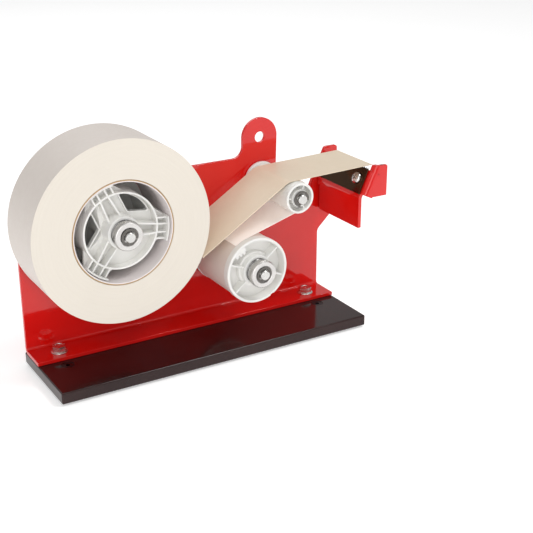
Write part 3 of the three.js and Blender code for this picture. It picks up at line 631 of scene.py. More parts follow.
def folded(points, thickness, outer, steps=8):
    """Section of a sheet that runs start, corner, end with its thickness inside the fold."""
    start, corner, end = (Vector(p) for p in points)
    d1, d2 = (corner - start).normalized(), (end - corner).normalized()
    turn = math.atan2(d1.x * d2.y - d1.y * d2.x, d1.dot(d2))
    side = 1 if turn > 0 else -1
    n1, n2 = Vector((-d1.y, d1.x)) * side, Vector((-d2.y, d2.x)) * side
    reach = outer * math.tan(abs(turn) / 2)
    centre = corner - d1 * reach + n1 * outer
    first = math.atan2(-n1.y, -n1.x)

    def bend(radius):
        return [(centre.x + radius * math.cos(first + turn * k / steps),
                 centre.y + radius * math.sin(first + turn * k / steps)) for k in range(steps + 1)]

    outside = [tuple(start), *bend(outer), tuple(end)]
    inner = [tuple(start + n1 * thickness), *bend(outer - thickness), tuple(end + n2 * thickness)]
    return outside + inner[::-1]


def frame_plate():
    ear_x, ear_z, ear_r, top, fillet = 208.1, 152.3, 16.1, 137.2, 9.0
    foot_x, floor = 254.8, 98.0
    lean_x = lambda z: foot_x + (z - floor) * TAN_LEAN
    seam = 20.0
    loop = [(0, seam), (266, seam), (266, 62), (284.6, 80), (284.6, 135.2), (lean_x(135.2), 135.2),
            (foot_x, floor), (ear_x + ear_r, floor)]
    loop = soften(loop, {2: 6, 3: 6, 4: 2.2, 5: 2.5, 6: 8, 7: 9})
    loop += arc(ear_x, ear_z, ear_r, 0, 180, 40)
    loop += arc(ear_x - ear_r - fillet, top + fillet, fillet, 0, -90, 14)
    loop += arc(6, top - 6, 6, 90, 180, 10)
    holes = [circle(ear_x, ear_z, 4.5, 48)]
    verts, faces = region([loop], holes)
    # The upright part and the fold share the seam's two end corners, so they are welded there.
    bm = bmesh.new()
    front = [bm.verts.new(metres((v.x, 0, v.y))) for v in verts]
    back = [bm.verts.new(metres((v.x, SHEET, v.y))) for v in verts]
    count = set()
    for face in faces:
        bm.faces.new([front[i] for i in face])
        bm.faces.new([back[i] for i in reversed(face)])
        count.update((face[i], face[(i + 1) % len(face)]) for i in range(len(face)))
    for a, b in count:
        on_seam = abs(verts[a].y - seam) < 1e-3 and abs(verts[b].y - seam) < 1e-3
        if (b, a) not in count and not on_seam:
            bm.faces.new([front[a], front[b], back[b], back[a]])
    section = folded([(-25, 9.1), (SHEET, 9.1), (SHEET, seam)], SHEET, 5.0, 10)
    left = [bm.verts.new(metres((0, y, z))) for y, z in section]
    right = [bm.verts.new(metres((266, y, z))) for y, z in section]
    half = len(section) // 2
    bm.faces.new(left)
    bm.faces.new(right[::-1])
    for i in range(len(section)):
        j = (i + 1) % len(section)
        if i != half - 1:
            bm.faces.new([left[i], left[j], right[j], right[i]])
    bmesh.ops.remove_doubles(bm, verts=bm.verts, dist=0.00001)
    bmesh.ops.recalc_face_normals(bm, faces=bm.faces)
    bmesh.ops.dissolve_limit(bm, angle_limit=0.002, verts=bm.verts, edges=bm.edges)
    body = to_object("frame_plate_detail", bm)
    round_edges(body, 0.55, 3, 45)
    finish_piece(body, "frame_plate", "frame", "red_paint", RED, angle=50)


def flange_bolt(side, x):
    y, seat = BOLT_Y, 12.2
    profile = [(0, 1.5), (2.8, 1.5), (2.8, seat), (6.4, seat, 0.25), (6.5, seat + 0.7, 0.3),
               (5.0, seat + 1.5, 0.3), (4.6, seat + 1.7), (0, seat + 1.7)]
    body = upright(f"flange_bolt_{side}_detail", profile, x, y)
    place = lambda u, v, w: (x + u, y + v, w)
    head = slab("head", [regular(6, 9.6, 12)], [], seat + 1.2, seat + 5.3, place, 0)
    cone = upright("cone", [(0, seat), (8, seat), (8, seat + 3.9), (4.2, seat + 5.5), (0, seat + 5.5)], x, y)
    combine(head, [cone], "INTERSECT")
    dish = upright("dish", [(0, seat + 4.95), (3.1, seat + 4.95, 0.3), (3.5, seat + 6), (0, seat + 6)], x, y)
    cut(head, dish)
    union(body, head)
    steel_piece(body, f"flange_bolt_{side}")


frame_plate()
flange_bolt("left", BOLT_X)
flange_bolt("right", right_side(BOLT_X))


# ---------- cutter
WEB_LEFT, BEND_Z = 264.8, 107.8
ALONG = Vector((math.sin(RAD(LEAN)), 0, math.cos(RAD(LEAN))))
AWAY = Vector((-math.cos(RAD(LEAN)), 0, math.sin(RAD(LEAN))))


def lean_face(y, s, out=0.0):
    """A point of the leaning face: y along it, s up it, out from it."""
    p = Vector((WEB_LEFT, y, BEND_Z)) + ALONG * s + AWAY * out
    return tuple(p)


def face_x(z):
    return WEB_LEFT + (z - BEND_Z) * TAN_LEAN


def cutter_bracket():
    web_front, top = -66.0, 129.6
    section = folded([(WEB_LEFT, 82), (WEB_LEFT, BEND_Z), (face_x(top), top)], SHEET, 6.0, 8)
    web = slab("cutter_bracket_detail", [section], [], web_front + 5.0, -0.6, on_y, 0.35)
    room = [(WEB_LEFT - 5, 80), (WEB_LEFT + 9, 80), (WEB_LEFT + 9, 104), (WEB_LEFT - 5, 104)]
    cut(web, slab("relief", [room], [], -5.6, 1, on_y, 0))
    flat = folded([(283, -0.1), (WEB_LEFT, -0.1), (WEB_LEFT, -12)], SHEET, 5.0, 8)
    flange = slab("flange", [flat], [], 82, 104, lambda u, v, w: (u, v, w), 0.35)
    low, high = (111 - BEND_Z) / math.cos(RAD(LEAN)), (top - BEND_Z) / math.cos(RAD(LEAN))
    corner = folded([(-58.0, 0), (web_front, 0), (web_front, -9)], SHEET, 5.0, 12)
    fold = slab("fold", [corner], [], low, high, lambda u, v, w: lean_face(u, w, v), 0.35)
    # the fold's front edge carries on above the web, and is trimmed level with the ear's top
    ear_top, ear_right = 133.8, 288.8
    peak = (ear_top + 3 - BEND_Z) / math.cos(RAD(LEAN))
    tab_loop = folded([(web_front + 5.2, 0), (web_front, 0), (web_front, -7)], SHEET, 5.0, 12)
    tab = slab("tab", [tab_loop], [], high - 1, peak, lambda u, v, w: lean_face(u, w, v), 0.4, 3)
    above = [(WEB_LEFT, ear_top), (ear_right, ear_top), (ear_right, ear_top + 6), (WEB_LEFT, ear_top + 6)]
    cut(tab, slab("above", [above], [], web_front - 1, 0, on_y, 0))
    offset = 5.0 / math.cos(RAD(LEAN))
    ear = [(face_x(108) + offset + 2, 108), (ear_right, 108), (ear_right, ear_top),
           (face_x(ear_top) + offset, ear_top)]
    ear = soften(ear, {2: 1.6})
    front = slab("ear", [ear], [], web_front + 0.02, web_front + SHEET - 0.02, on_y, 0.4, 3)
    union(web, flange, fold, tab, front)
    finish_piece(web, "cutter_bracket", "frame", "red_paint", RED, angle=35)


def cutter_blade():
    low, high, back, front, depth = 3.0, 25.3, -2.5, -60.6, 1.3
    teeth = 24
    pitch = (back - front) / teeth
    loop = [(back, low), (back, high - depth)]
    for i in range(teeth):
        loop.append((back - (i + 0.5) * pitch, high))
        loop.append((back - (i + 1) * pitch, high - depth))
    loop.append((front, low))
    holes = [circle(y, 14.5, 2.3, 32) for y in (-51.5, -12)]
    body = slab("cutter_blade_detail", [loop], holes, 0.3, 1.5, lambda u, v, w: lean_face(u, v, w), 0)
    # The teeth are ground to a thin edge on the side that faces away from the tape.
    for vertex in body.data.vertices:
        p = (vertex.co - ORIGIN) / MM - Vector((WEB_LEFT, 0, BEND_Z))
        s, out = p.dot(ALONG), p.dot(AWAY)
        if s > high - depth - 0.2 and out < 0.6:
            p += AWAY * 0.7
            vertex.co = metres(p + Vector((WEB_LEFT, 0, BEND_Z)))
    round_edges(body, 0.08, 1, 40)
    finish_piece(body, "cutter_blade", "frame", "blade_steel", BLADE_METAL, angle=25)


def leaning(name, profile, y, s, steps=40):
    place = lambda p: lean_face(y + p.x, s + p.z, p.y)
    return outward(lathe(name, profile, (0, 0), steps, profile[0][0] > 0, place))


def blade_screw(side, y):
    seat = 1.8
    body = leaning(f"blade_screw_{side}_detail",
                   [(0, -8.6), (1.9, -8.6, 0.3), (1.95, seat), (4.8, seat, 0.2), (4.8, seat + 1.1, 0.5),
                    (4.2, seat + 2.2, 0.8), (2.4, seat + 3.1, 0.6), (0, seat + 3.2)], y, 14.5)
    arms = []
    for long, wide in ((2.5, 0.42), (0.42, 2.5)):
        loop = [(-long, -wide), (long, -wide), (long, wide), (-long, wide)]
        c, s = math.cos(0.4), math.sin(0.4)
        turned = [(u * c - v * s, u * s + v * c) for u, v in loop]
        place = lambda u, v, w: lean_face(y + u, 14.5 + v, w)
        arms.append(slab("arm", [turned], [], seat + 1.3, seat + 4, place, 0))
    cut(body, *arms)
    steel_piece(body, f"blade_screw_{side}")


def blade_nut(side, y):
    body = slab(f"blade_nut_{side}_detail", [regular(6, 7)], [circle(0, 0, 2.2, 24)], -6.5, -3.3,
                lambda u, v, w: lean_face(y + u, 14.5 + v, w), 0.3)
    steel_piece(body, f"blade_nut_{side}")


def bracket_screw(side, z):
    body = lathe(f"bracket_screw_{side}_detail",
                 [(0, -3), (1.95, -3, 0.2), (1.95, 3.1), (3.9, 3.1, 0.15), (3.9, 3.7, 0.3), (3.2, 4.8, 0.7),
                  (1.6, 5.5, 0.4), (0, 5.5)], (276, z), 40, False)
    socket = slab("socket", [regular(6, 2.5, 20)], [], 3.9, 6.5, lambda u, v, w: (276 + u, w, z + v), 0)
    cut(outward(body), socket)
    steel_piece(body, f"bracket_screw_{side}")


cutter_bracket()
cutter_blade()
for side, y in (("front", -51.5), ("rear", -12)):
    blade_screw(side, y)
    blade_nut(side, y)
for side, z in (("lower", 88), ("upper", 99)):
    bracket_screw(side, z)


# ---------- shafts, clips, rear nuts
def shaft(name, axis):
    front, rear = y_range(f"{name}_shaft")
    clip = y_range(f"{name}_clip")[0]
    body = lathe(f"{name}_shaft_detail",
                 [(0, front), (3.4, front, 0.15), (4, front + 0.7, 0.2), (4, clip - 0.2, 0.1),
                  (3.1, clip - 0.2), (3.1, clip + 1.4),
                  (4, clip + 1.4, 0.1), (4, -0.1, 0.15), (3, -0.1), (3, rear - 0.7, 0.2),
                  (2.4, rear, 0.15), (0, rear)], axis, 64, False)
    steel = turned_metal(f"{name}_shaft_steel", axis, (0.7, 0.69, 0.67), 0.2)
    finish_piece(body, f"{name}_shaft", "frame", "stainless", steel)


def e_clip(name, axis):
    front, back = y_range(f"{name}_clip")
    mouth = -60
    outer = arc(0, 0, 6.5, mouth + 42, mouth + 318, 60)
    inner = []
    grip, relief = 3.5, 4.7
    for start, end, radius in ((318, 300, grip), (296, 206, relief), (202, 158, grip), (154, 64, relief),
                               (60, 42, grip)):
        inner += arc(0, 0, radius, mouth + start, mouth + end, 14)
    body = slab(f"{name}_clip_detail", [outer + inner], [], front, back, at_axis(axis), 0.12, 2)
    finish_piece(body, f"{name}_clip", "frame", "black_oxide", CLIP_STEEL, angle=30)


def rear_fixing(name, axis):
    washer = lathe(f"{name}_rear_washer_detail",
                   [(3.4, 3.1, 0.1), (7, 3.1, 0.15), (7, 4.2, 0.25), (3.4, 4.2, 0.1)], axis, 64)
    finish_piece(washer, f"{name}_rear_washer", "frame", "stainless", STAINLESS)
    nut = slab(f"{name}_rear_nut_detail", [regular(6, 10, 12)], [circle(0, 0, 3.3, 32)], 4.3, 9.3,
               at_axis(axis), 0)
    cone = lathe("cone", [(0, 4), (5.9, 4), (6.1, 8.6), (5.0, 9.35), (0, 9.35)], axis, 64, False)
    combine(nut, [cone], "INTERSECT")
    steel_piece(nut, f"{name}_rear_nut")


for name, axis in (("supply", SUPPLY), ("takeup", TAKEUP), ("guide", GUIDE)):
    shaft(name, axis)
    e_clip(name, axis)
    rear_fixing(name, axis)


# ---------- brakes
def knurled_nut(name, axis, body_name):
    front, back = y_range(f"{name}_tension_nut")
    count = 54
    steps = count * 4
    wave = [0.0, 0.5, 1.0, 0.5]
    profile = [(4.3, front + 4.0), (6.9, front + 4.0), (6.9, front + 0.2), (7.15, front), (10.2, front),
               (10.6, front + 0.3), (10.7, front + 0.9), (10.85, front + 1.1), (11.2, front + 1.4),
               (11.2, back - 0.8), (10.8, back - 0.5), (10.5, back), (4.3, back)]
    bm = bmesh.new()
    rings = []
    for i, (radius, y) in enumerate(profile):
        depth = 0.42 if 8 <= i <= 9 else 0
        rings.append([bm.verts.new(spot(axis, radius - depth * wave[k % 4], k / steps, y))
                      for k in range(steps)])
    join_rings(bm, zip(rings, rings[1:] + rings[:1]), steps)
    body = to_object(f"{name}_tension_nut_detail", bm)
    finish_piece(body, f"{name}_tension_nut", body_name, "stainless",
                 turned_metal(f"{name}_nut_steel", axis, (0.74, 0.72, 0.7), 0.26, 5.0, 2.0), angle=24)


def pressure_washer(name, axis, body_name):
    front, back = y_range(f"{name}_pressure_washer")
    body = lathe(f"{name}_pressure_washer_detail",
                 [(4.3, front, 0.1), (10.1, front, 0.2), (10.1, back, 0.2), (4.3, back, 0.1)], axis, 72)
    finish_piece(body, f"{name}_pressure_washer", body_name, "stainless",
                 turned_metal(f"{name}_washer_steel", axis, (0.62, 0.61, 0.6), 0.3))


def spring(name, axis):
    front, back = y_range(f"{name}_spring")
    wire, radius, turns, sides = 0.8, 8.9, 4.0, 12
    steps = 160
    bm = bmesh.new()
    rings = []
    for i in range(steps + 1):
        t = i / steps
        # closed end coils: the pitch eases off at both ends
        ease = (0.5 - 0.5 * math.cos(math.pi * t)) * 0.35 + t * 0.65
        y = front + wire + (back - front - 2 * wire) * ease
        rings.append([bm.verts.new(spot(axis, radius + u, turns * t, y + v))
                      for u, v in circle(0, 0, wire, sides)])
    join_rings(bm, zip(rings, rings[1:]), sides)
    bm.faces.new(rings[0][::-1])
    bm.faces.new(rings[-1])
    body = to_object(f"{name}_spring_detail", bm)
    finish_piece(body, f"{name}_spring", "frame", "stainless", SPRING_WIRE)


for name, axis in (("supply", SUPPLY), ("takeup", TAKEUP)):
    knurled_nut(name, axis, f"{name}_nut_body")
    pressure_washer(name, axis, f"{name}_washer_body")
    spring(name, axis)


# ---------- supply hub, core and roll
LOBES = (-6, 114, 234)


def bar(angle, offset, width, r0, r1):
    """Outline of a rib along an angle, set off sideways from the centre line."""
    c, s = math.cos(RAD(angle)), math.sin(RAD(angle))
    low, high = offset - width / 2, offset + width / 2
    corners = ((r0, low), (r1, low), (r1, high), (r0, high))
    return [(r * c - t * s, r * s + t * c) for r, t in corners]


def ring_sector(inner, outer, start, end, steps=16):
    return arc(0, 0, outer, start, end, steps) + arc(0, 0, inner, end, start, steps)


def lobe_floor(angle):
    """Outline of a lobe's floor, from the ring out to both ends of its pad."""
    inner, outer, wide, narrow = 28.6, 36.9, 37, 14
    far = arc(0, 0, outer, angle - narrow, angle + narrow, 16)
    return far + arc(0, 0, inner, angle + wide, angle - wide, 24)


def blade_between(a, b, width):
    """Outline of a straight rib between two points."""
    d = (Vector(b) - Vector(a)).normalized() * (width / 2)
    n = Vector((-d.y, d.x))
    return [tuple(Vector(a) - n), tuple(Vector(b) - n), tuple(Vector(b) + n), tuple(Vector(a) + n)]


def polar(radius, angle):
    return radius * math.cos(RAD(angle)), radius * math.sin(RAD(angle))


def supply_hub():
    front, back, boss_front = -50.5, -5.8, -55.8
    pad_front, shelf = -53.5, -44.5
    place = at_axis(SUPPLY)
    walls, voids = [circle(0, 0, 29.5, 128)], [circle(0, 0, 28.0, 128)]
    ring = slab("supply_hub_detail", walls, voids, front, back, place, 0.4, 3)
    boss = lathe("boss", [(4.3, boss_front + 8.6), (10.2, boss_front + 8.6), (10.2, boss_front, 0.25),
                          (12.4, boss_front, 0.5), (12.4, back, 0.3), (4.3, back)], SUPPLY, 72)
    disc = slab("disc", [circle(0, 0, 37.5, 128)], [circle(0, 0, 11.6, 48)], back - 2.4, back, place, 0.3)
    extra = [boss, disc]
    for angle in LOBES:
        for side in (-1, 1):
            tip = polar(28.6, angle + side * math.degrees(math.asin(3.4 / 28.6)))
            root = polar(11.6, angle + side * math.degrees(math.asin(4.8 / 11.6)))
            spoke = blade_between(root, tip, 1.4)
            extra.append(slab("spoke", [spoke], [], front + 0.2, front + 9.5, place, 0.25))
        for offset in (-8, -3.2, 3.2, 8):
            rib = bar(angle, offset, 1.3, 28.0, 36.8)
            extra.append(slab("rib", [rib], [], front + 0.1, shelf + 1, place, 0.25))
        pad = ring_sector(36.1, 37.5, angle - 15, angle + 15)
        extra.append(slab("pad", [pad], [], pad_front, -12, place, 0.35))
        extra.append(slab("shelf", [lobe_floor(angle)], [], shelf, shelf + 2.2, place, 0.3))
    windows = []
    for low, high in ((LOBES[0], LOBES[1]), (LOBES[1], LOBES[2])):
        middle = RAD((low + high) / 2)
        wedge = [(14.5 * math.cos(middle), 14.5 * math.sin(middle))]
        wedge += arc(0, 0, 26.4, low + 28, high - 28, 24)
        windows.append(soften(wedge, {0: 1.2, 1: 1.0, len(wedge) - 1: 1.0}))
    floor_voids = [circle(0, 0, 11.6, 48), *windows]
    floor = slab("floor", [circle(0, 0, 28.6, 128)], floor_voids, front + 8, front + 10.4, place, 0.4)
    extra.append(floor)
    # raised lips round the windows
    for window in windows:
        c = sum((Vector(p) for p in window), Vector((0, 0))) / len(window)
        lip = [tuple(c + (Vector(p) - c) * 1.13) for p in window]
        extra.append(slab("lip", [lip], [window], front + 6.6, front + 9, place, 0.25))
    weld(ring, extra)
    finish_piece(ring, "supply_hub", "supply_reel", "white_plastic", WHITE, angle=32)


def paint_faces(body, marks):
    for poly, mark in zip(body.data.polygons, marks):
        poly.material_index = mark


def from_axis(poly):
    """Distance of a face's centre from the supply axis, in metres."""
    middle = metres((SUPPLY[0], 0, SUPPLY[1]))
    return math.hypot(poly.center.x - middle.x, poly.center.z - middle.z)


def tape_roll():
    rnd = random.Random(7)
    inner, outer, front, back = 39.9, ROLL_RADIUS, TAPE_FRONT, TAPE_BACK
    layers = 64
    drift = [0.0] * (layers + 1)
    for i in range(1, layers + 1):
        drift[i] = max(-0.10, min(0.10, drift[i - 1] * 0.8 + rnd.uniform(-0.05, 0.05)))
    radius = lambda i: inner + (outer - 0.25 - inner) * i / layers
    left = [(radius(i), front - drift[i]) for i in range(layers + 1)]
    right = [(radius(i), back + drift[i] * 0.6) for i in range(layers, -1, -1)]
    rim = [(outer - 0.06, front + 0.1), (outer, front + 0.4), (outer, back - 0.4), (outer - 0.06, back - 0.1)]
    body = lathe("tape_roll_detail", left + rim + right, SUPPLY, 200)
    # only the outer face shows the liner: it faces away from the axis, well outside the core
    marks = [int(abs(poly.normal.y) < 0.6 and from_axis(poly) > 0.06) for poly in body.data.polygons]
    finish_piece(body, "tape_roll", "supply_reel", "tape_side", ROLL_SIDE, ROLL_FACE)
    paint_faces(body, marks)


def tape_core():
    front, back = TAPE_FRONT, TAPE_BACK
    profile = [(38.1, front - 0.05, 0.2), (38.6, front - 0.12), (38.9, front), (39.65, front - 0.1, 0.15),
               (39.65, back, 0.2), (38.1, back, 0.2)]
    body = lathe("tape_core_detail", profile, SUPPLY, 160)
    marks = [int(from_axis(poly) < 0.0389) for poly in body.data.polygons]
    finish_piece(body, "tape_core", "supply_reel", "cardboard", CARD, CORE_LINING)
    paint_faces(body, marks)


def pulley(name, axis, pitch, body_name):
    rim, floor = pitch + 1.8, pitch - 1.8
    profile = [(4.3, -5.5, 0.2), (rim, -5.5, 0.3), (rim, -4.9, 0.2), (floor + 1.0, -4.6), (floor + 0.2, -4.0),
               (floor, -3.0), (floor + 0.2, -2.0), (floor + 1.0, -1.4), (rim, -1.1, 0.2), (rim, -0.5, 0.3),
               (4.3, -0.5, 0.2)]
    body = lathe(f"{name}_pulley_detail", profile, axis, 120)
    finish_piece(body, f"{name}_pulley", body_name, "white_plastic", WHITE)


supply_hub()
tape_roll()
tape_core()
pulley("supply", SUPPLY, 24.0, "supply_reel")
pulley("takeup", TAKEUP, 8.0, "takeup_drive")


# ---------- liner take-up
def takeup_drum():
    front, back, inner, boss_front = -62.2, -4.9, 24.1, -62.4
    place = at_axis(TAKEUP)
    shell = lathe("takeup_drum_detail",
                  [(inner, front + 3), (24.6, front, 0.25), (26.3, front, 0.3), (26.7, front + 0.6, 0.4),
                   (26.7, -56.1, 0.3), (25.2, -56.1, 0.1), (25.2, -5.7, 0.1), (26.7, -5.7, 0.3),
                   (26.7, back, 0.4), (inner, back, 0.3)], TAKEUP, 160)
    boss = lathe("boss", [(4.3, boss_front + 8.6), (10.2, boss_front + 8.6), (10.2, boss_front, 0.25),
                          (12.3, boss_front, 0.5), (12.5, -56), (12.5, -7.9, 0.3), (4.3, -7.9)], TAKEUP, 72)
    collar = lathe("collar", [(12.0, -57.2), (14.2, -57.2, 0.5), (14.6, -52.6), (12.0, -52.6)], TAKEUP, 72)
    extra = [boss, collar]
    floor_loops = [circle(0, 0, 24.6, 128)]
    extra.append(slab("floor", floor_loops, [circle(0, 0, 12, 48)], front + 9, front + 11.2, place, 0))
    for i in range(6):
        rib = bar(40 + 60 * i, 0, 1.3, 12.0, 24.4)
        extra.append(slab("rib", [rib], [], front + 1.4, front + 10, place, 0.25))
    for angle, reach in ((120, 3), (124.5, 4.8), (129, 3), (133, 4), (137.5, 1.8), (141.5, 2.6)):
        tooth = bar(angle, 0, 2.1, inner - reach, inner + 0.7)
        extra.append(slab("tooth", [tooth], [], front + 0.3, front + 10, place, 0.2))
    weld(shell, extra)
    notch = slab("notch", [bar(-60, 0, 3.0, 25.6, 28)], [], front - 1, front + 2.4, place, 0)
    cut(shell, notch)
    finish_piece(shell, "takeup_drum", "takeup_reel", "white_plastic", WHITE, angle=32)


def liner_winding():
    rnd = random.Random(3)
    inner, outer, front, back = 25.5, WINDING_RADIUS, TAPE_FRONT, TAPE_BACK
    profile = [(inner, front), (inner + 0.2, front - 0.05), (inner + 0.4, front + 0.08), (outer, front, 0.05)]
    steps = 12
    for i in range(1, steps):
        profile.append((outer - 0.03 * rnd.random(), front + (back - front) * i / steps))
    profile += [(outer, back, 0.05), (inner, back)]
    body = lathe("liner_winding_detail", profile, TAKEUP, 160)
    finish_piece(body, "liner_winding", "takeup_reel", "liner_paper", WINDING)


def clutch_felt():
    profile = [(4.3, -7.7, 0.2), (9.5, -7.7, 0.4), (9.5, -5.7, 0.4), (4.3, -5.7, 0.2)]
    body = lathe("clutch_felt_detail", profile, TAKEUP, 64)
    finish_piece(body, "clutch_felt", "takeup_reel", "felt", FELT)


def guide_roller():
    front, back, radius = -61.9, -0.9, ROLLER_RADIUS
    place = at_axis(GUIDE)
    shell = lathe("guide_roller_detail",
                  [(10.4, front, 0.25), (radius, front, 0.6), (radius, back - 2.6, 0.2), (15, back - 2.6, 0.4),
                   (15, back, 0.4), (10.4, back, 0.2)], GUIDE, 128)
    extra = [
        lathe("boss", [(4.3, front + 0.5, 0.1), (7, front + 0.5, 0.35), (7, back - 0.1, 0.3),
                       (4.3, back - 0.1)], GUIDE, 64),
        slab("floor", [circle(0, 0, 11.2, 96)], [circle(0, 0, 6.2, 40)], front + 7, front + 14, place, 0),
    ]
    for i in range(3):
        spoke = bar(60 + 120 * i, 0, 1.4, 6.2, 11.2)
        extra.append(slab("spoke", [spoke], [], front + 2.4, front + 13, place, 0.25))
    weld(shell, extra)
    finish_piece(shell, "guide_roller", "guide", "white_plastic", WHITE, angle=32)


def drive_belt():
    """A round belt on the two pulleys."""
    main, small = 24.0, 8.0
    d = Vector((TAKEUP[0] - SUPPLY[0], TAKEUP[1] - SUPPLY[1]))
    heading = math.degrees(math.atan2(d.y, d.x))
    spread = math.degrees(math.acos((main - small) / d.length))
    path = arc(*SUPPLY, main, heading + spread, heading - spread + 360, 48)
    path += arc(*TAKEUP, small, heading - spread, heading + spread, 24)
    sides, radius = 14, 1.45
    bm = bmesh.new()
    rings = []
    for i, (x, z) in enumerate(path):
        before, after = Vector(path[i - 1]), Vector(path[(i + 1) % len(path)])
        t = (after - before).normalized()
        normal = Vector((t.y, -t.x))
        rings.append([bm.verts.new(metres((x + normal.x * u, -3 + v, z + normal.y * u)))
                      for u, v in circle(0, 0, radius, sides)])
    join_rings(bm, zip(rings, rings[1:] + rings[:1]), sides)
    body = to_object("drive_belt_detail", bm)
    finish_piece(body, "drive_belt", "frame", "rubber", BELT_RUBBER)


takeup_drum()
liner_winding()
clutch_felt()
guide_roller()
drive_belt()


# ---------- tape and liner between the rolls
def web(name, path, thickness, across, end_teeth=0.0):
    """A thin sheet along a path in X and Z, with its torn end if it has one."""
    rows = []
    front, back = across
    columns = 96
    for i, point in enumerate(path):
        before, after = Vector(path[max(i - 1, 0)]), Vector(path[min(i + 1, len(path) - 1)])
        d = (after - before).normalized()
        rows.append((Vector(point), d, Vector((-d.y, d.x))))
    bm = bmesh.new()
    sheets = []
    for sign in (1, -1):
        grid = []
        for i, (p, d, normal) in enumerate(rows):
            line = []
            for k in range(columns + 1):
                y = front + (back - front) * k / columns
                q = p + normal * (sign * thickness / 2)
                if end_teeth and i == len(rows) - 1:
                    q = q + d * end_teeth * (0.5 if k % 4 in (1, 3) else (1.0 if k % 4 == 2 else 0.0))
                line.append(bm.verts.new(metres((q.x, y, q.y))))
            grid.append(line)
        sheets.append(grid)
    top, bottom = sheets
    for i in range(len(rows) - 1):
        for k in range(columns):
            bm.faces.new([top[i][k], top[i + 1][k], top[i + 1][k + 1], top[i][k + 1]])
            bm.faces.new([bottom[i][k], bottom[i][k + 1], bottom[i + 1][k + 1], bottom[i + 1][k]])
        bm.faces.new([top[i][0], bottom[i][0], bottom[i + 1][0], top[i + 1][0]])
        bm.faces.new([top[i][columns], top[i + 1][columns], bottom[i + 1][columns], bottom[i][columns]])
    for k in range(columns):
        bm.faces.new([top[0][k], top[0][k + 1], bottom[0][k + 1], bottom[0][k]])
        bm.faces.new([top[-1][k], bottom[-1][k], bottom[-1][k + 1], top[-1][k + 1]])
    return to_object(name, bm)


def straight(a, b, steps):
    return [tuple(Vector(a).lerp(Vector(b), i / steps)) for i in range(1, steps)]


def tape_web():
    thickness = 0.5
    radius = ROLLER_RADIUS + CLEARANCE + thickness / 2
    peel, lift, rise = -26.5, 1.6, 1.7
    start = arc(*SUPPLY, ROLL_RADIUS + 0.9, peel, peel, 1)[0]
    d = Vector(GUIDE) - Vector(start)
    # the stiff tape stands off the roller on the way up and settles on it at the top
    climb = math.degrees(math.atan2(d.y, d.x)) + math.degrees(math.asin((radius + lift) / d.length))
    slip = lift / math.sin(RAD(climb - rise))
    bend = (GUIDE[0] - slip * math.cos(RAD(rise)), GUIDE[1] - slip * math.sin(RAD(rise)))
    over = arc(*bend, radius, climb + 90, rise + 90, 14)
    last = Vector(over[-1])
    end = (281.0, last.y + (281.0 - last.x) * math.tan(RAD(rise)))
    path = [start, *straight(start, over[0], 16), *over, *straight(over[-1], end, 14), end]
    body = web("tape_web_detail", path, thickness, (TAPE_FRONT, TAPE_BACK), end_teeth=-1.2)
    finish_piece(body, "tape_web", "frame", "tape_face", TAPE_FACE)


def liner_web():
    thickness = 0.35
    radius = ROLLER_RADIUS + CLEARANCE + thickness / 2
    drum = WINDING_RADIUS + CLEARANCE + thickness / 2
    d = Vector(TAKEUP) - Vector(GUIDE)
    heading = math.degrees(math.atan2(d.y, d.x)) + 360 - math.degrees(math.asin((radius + drum) / d.length))
    turn = arc(*GUIDE, radius, 72, heading + 90 - 360, 40)
    landing = arc(*TAKEUP, drum, heading - 90, heading - 90 + 20, 8)
    path = [*turn, *straight(turn[-1], landing[0], 12), *landing]
    body = web("liner_web_detail", path, thickness, (TAPE_FRONT, TAPE_BACK))
    finish_piece(body, "liner_web", "frame", "liner_paper", LINER)


tape_web()
liner_web()


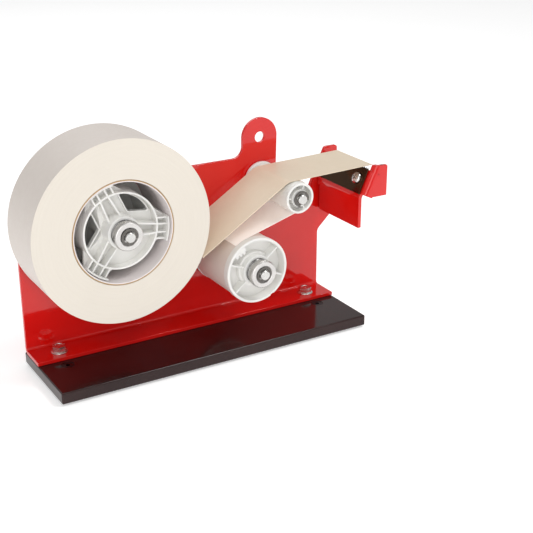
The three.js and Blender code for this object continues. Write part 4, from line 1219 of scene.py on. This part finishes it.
# ---------- floor, light and camera
def floor():
    bm = bmesh.new()
    half, height = 6.0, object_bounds()[0].z - 0.0002
    for x, y in ((-half, -half), (half, -half), (half, half), (-half, half)):
        bm.verts.new((x, y, height))
    bm.faces.new(bm.verts)
    obj = to_object("floor", bm)
    n = Nodes("pale_floor")
    obj.data.materials.append(n.set(Base_Color=(0.9, 0.9, 0.9), Roughness=0.7,
                                    Emission_Color=(1.0, 1.0, 1.0), Emission_Strength=0.4))
    obj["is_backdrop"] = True


def softbox(name, location, target, size, power):
    light = bpy.data.lights.new(name, "AREA")
    light.shape = "RECTANGLE"
    light.size, light.size_y = size
    light.energy = power
    obj = bpy.data.objects.new(name, light)
    obj.location = location
    obj.rotation_euler = (Vector(target) - Vector(location)).to_track_quat("-Z", "Y").to_euler()
    bpy.context.scene.collection.objects.link(obj)


def studio():
    world = bpy.data.worlds.new("studio")
    bpy.context.scene.world = world
    world.use_nodes = True
    world.node_tree.nodes["Background"].inputs["Color"].default_value = (1, 1, 1, 1)
    world.node_tree.nodes["Background"].inputs["Strength"].default_value = 0.5
    softbox("key", (-0.75, -1.35, 0.95), (0, 0, 0.08), (1.1, 1.1), 6.5)
    softbox("low", (-1.0, -1.05, 0.25), (0, 0, 0.08), (1.0, 0.45), 2.4)
    softbox("top", (0.6, -0.5, 1.3), (0, 0, 0.05), (0.45, 0.45), 6.5)
    softbox("back", (0.2, 1.5, 1.3), (0, 0, 0.1), (1.4, 0.8), 5)


def camera():
    data = bpy.data.cameras.new("camera")
    obj = bpy.data.objects.new("camera", data)
    bpy.context.scene.collection.objects.link(obj)
    yaw, pitch, roll = RAD(30.949), RAD(21.720), RAD(0.053)
    forward = Vector((math.sin(yaw) * math.cos(pitch), math.cos(yaw) * math.cos(pitch), -math.sin(pitch)))
    right = Vector((math.cos(yaw), -math.sin(yaw), 0))
    up = right.cross(forward)
    turn = Matrix((right, up, -forward)).transposed().to_4x4()
    place = Matrix.Translation(metres((-221.73, -728.17, 378.03)))
    obj.matrix_world = place @ turn @ Matrix.Rotation(roll, 4, "Z")
    data.sensor_width = 36.0
    data.lens = 72.2836773
    data.shift_x = -0.000750469
    data.shift_y = -0.004502814
    data.clip_start, data.clip_end = 0.05, 30
    bpy.context.scene.camera = obj


floor()
studio()
camera()
bpy.context.scene.view_settings.view_transform = "Standard"
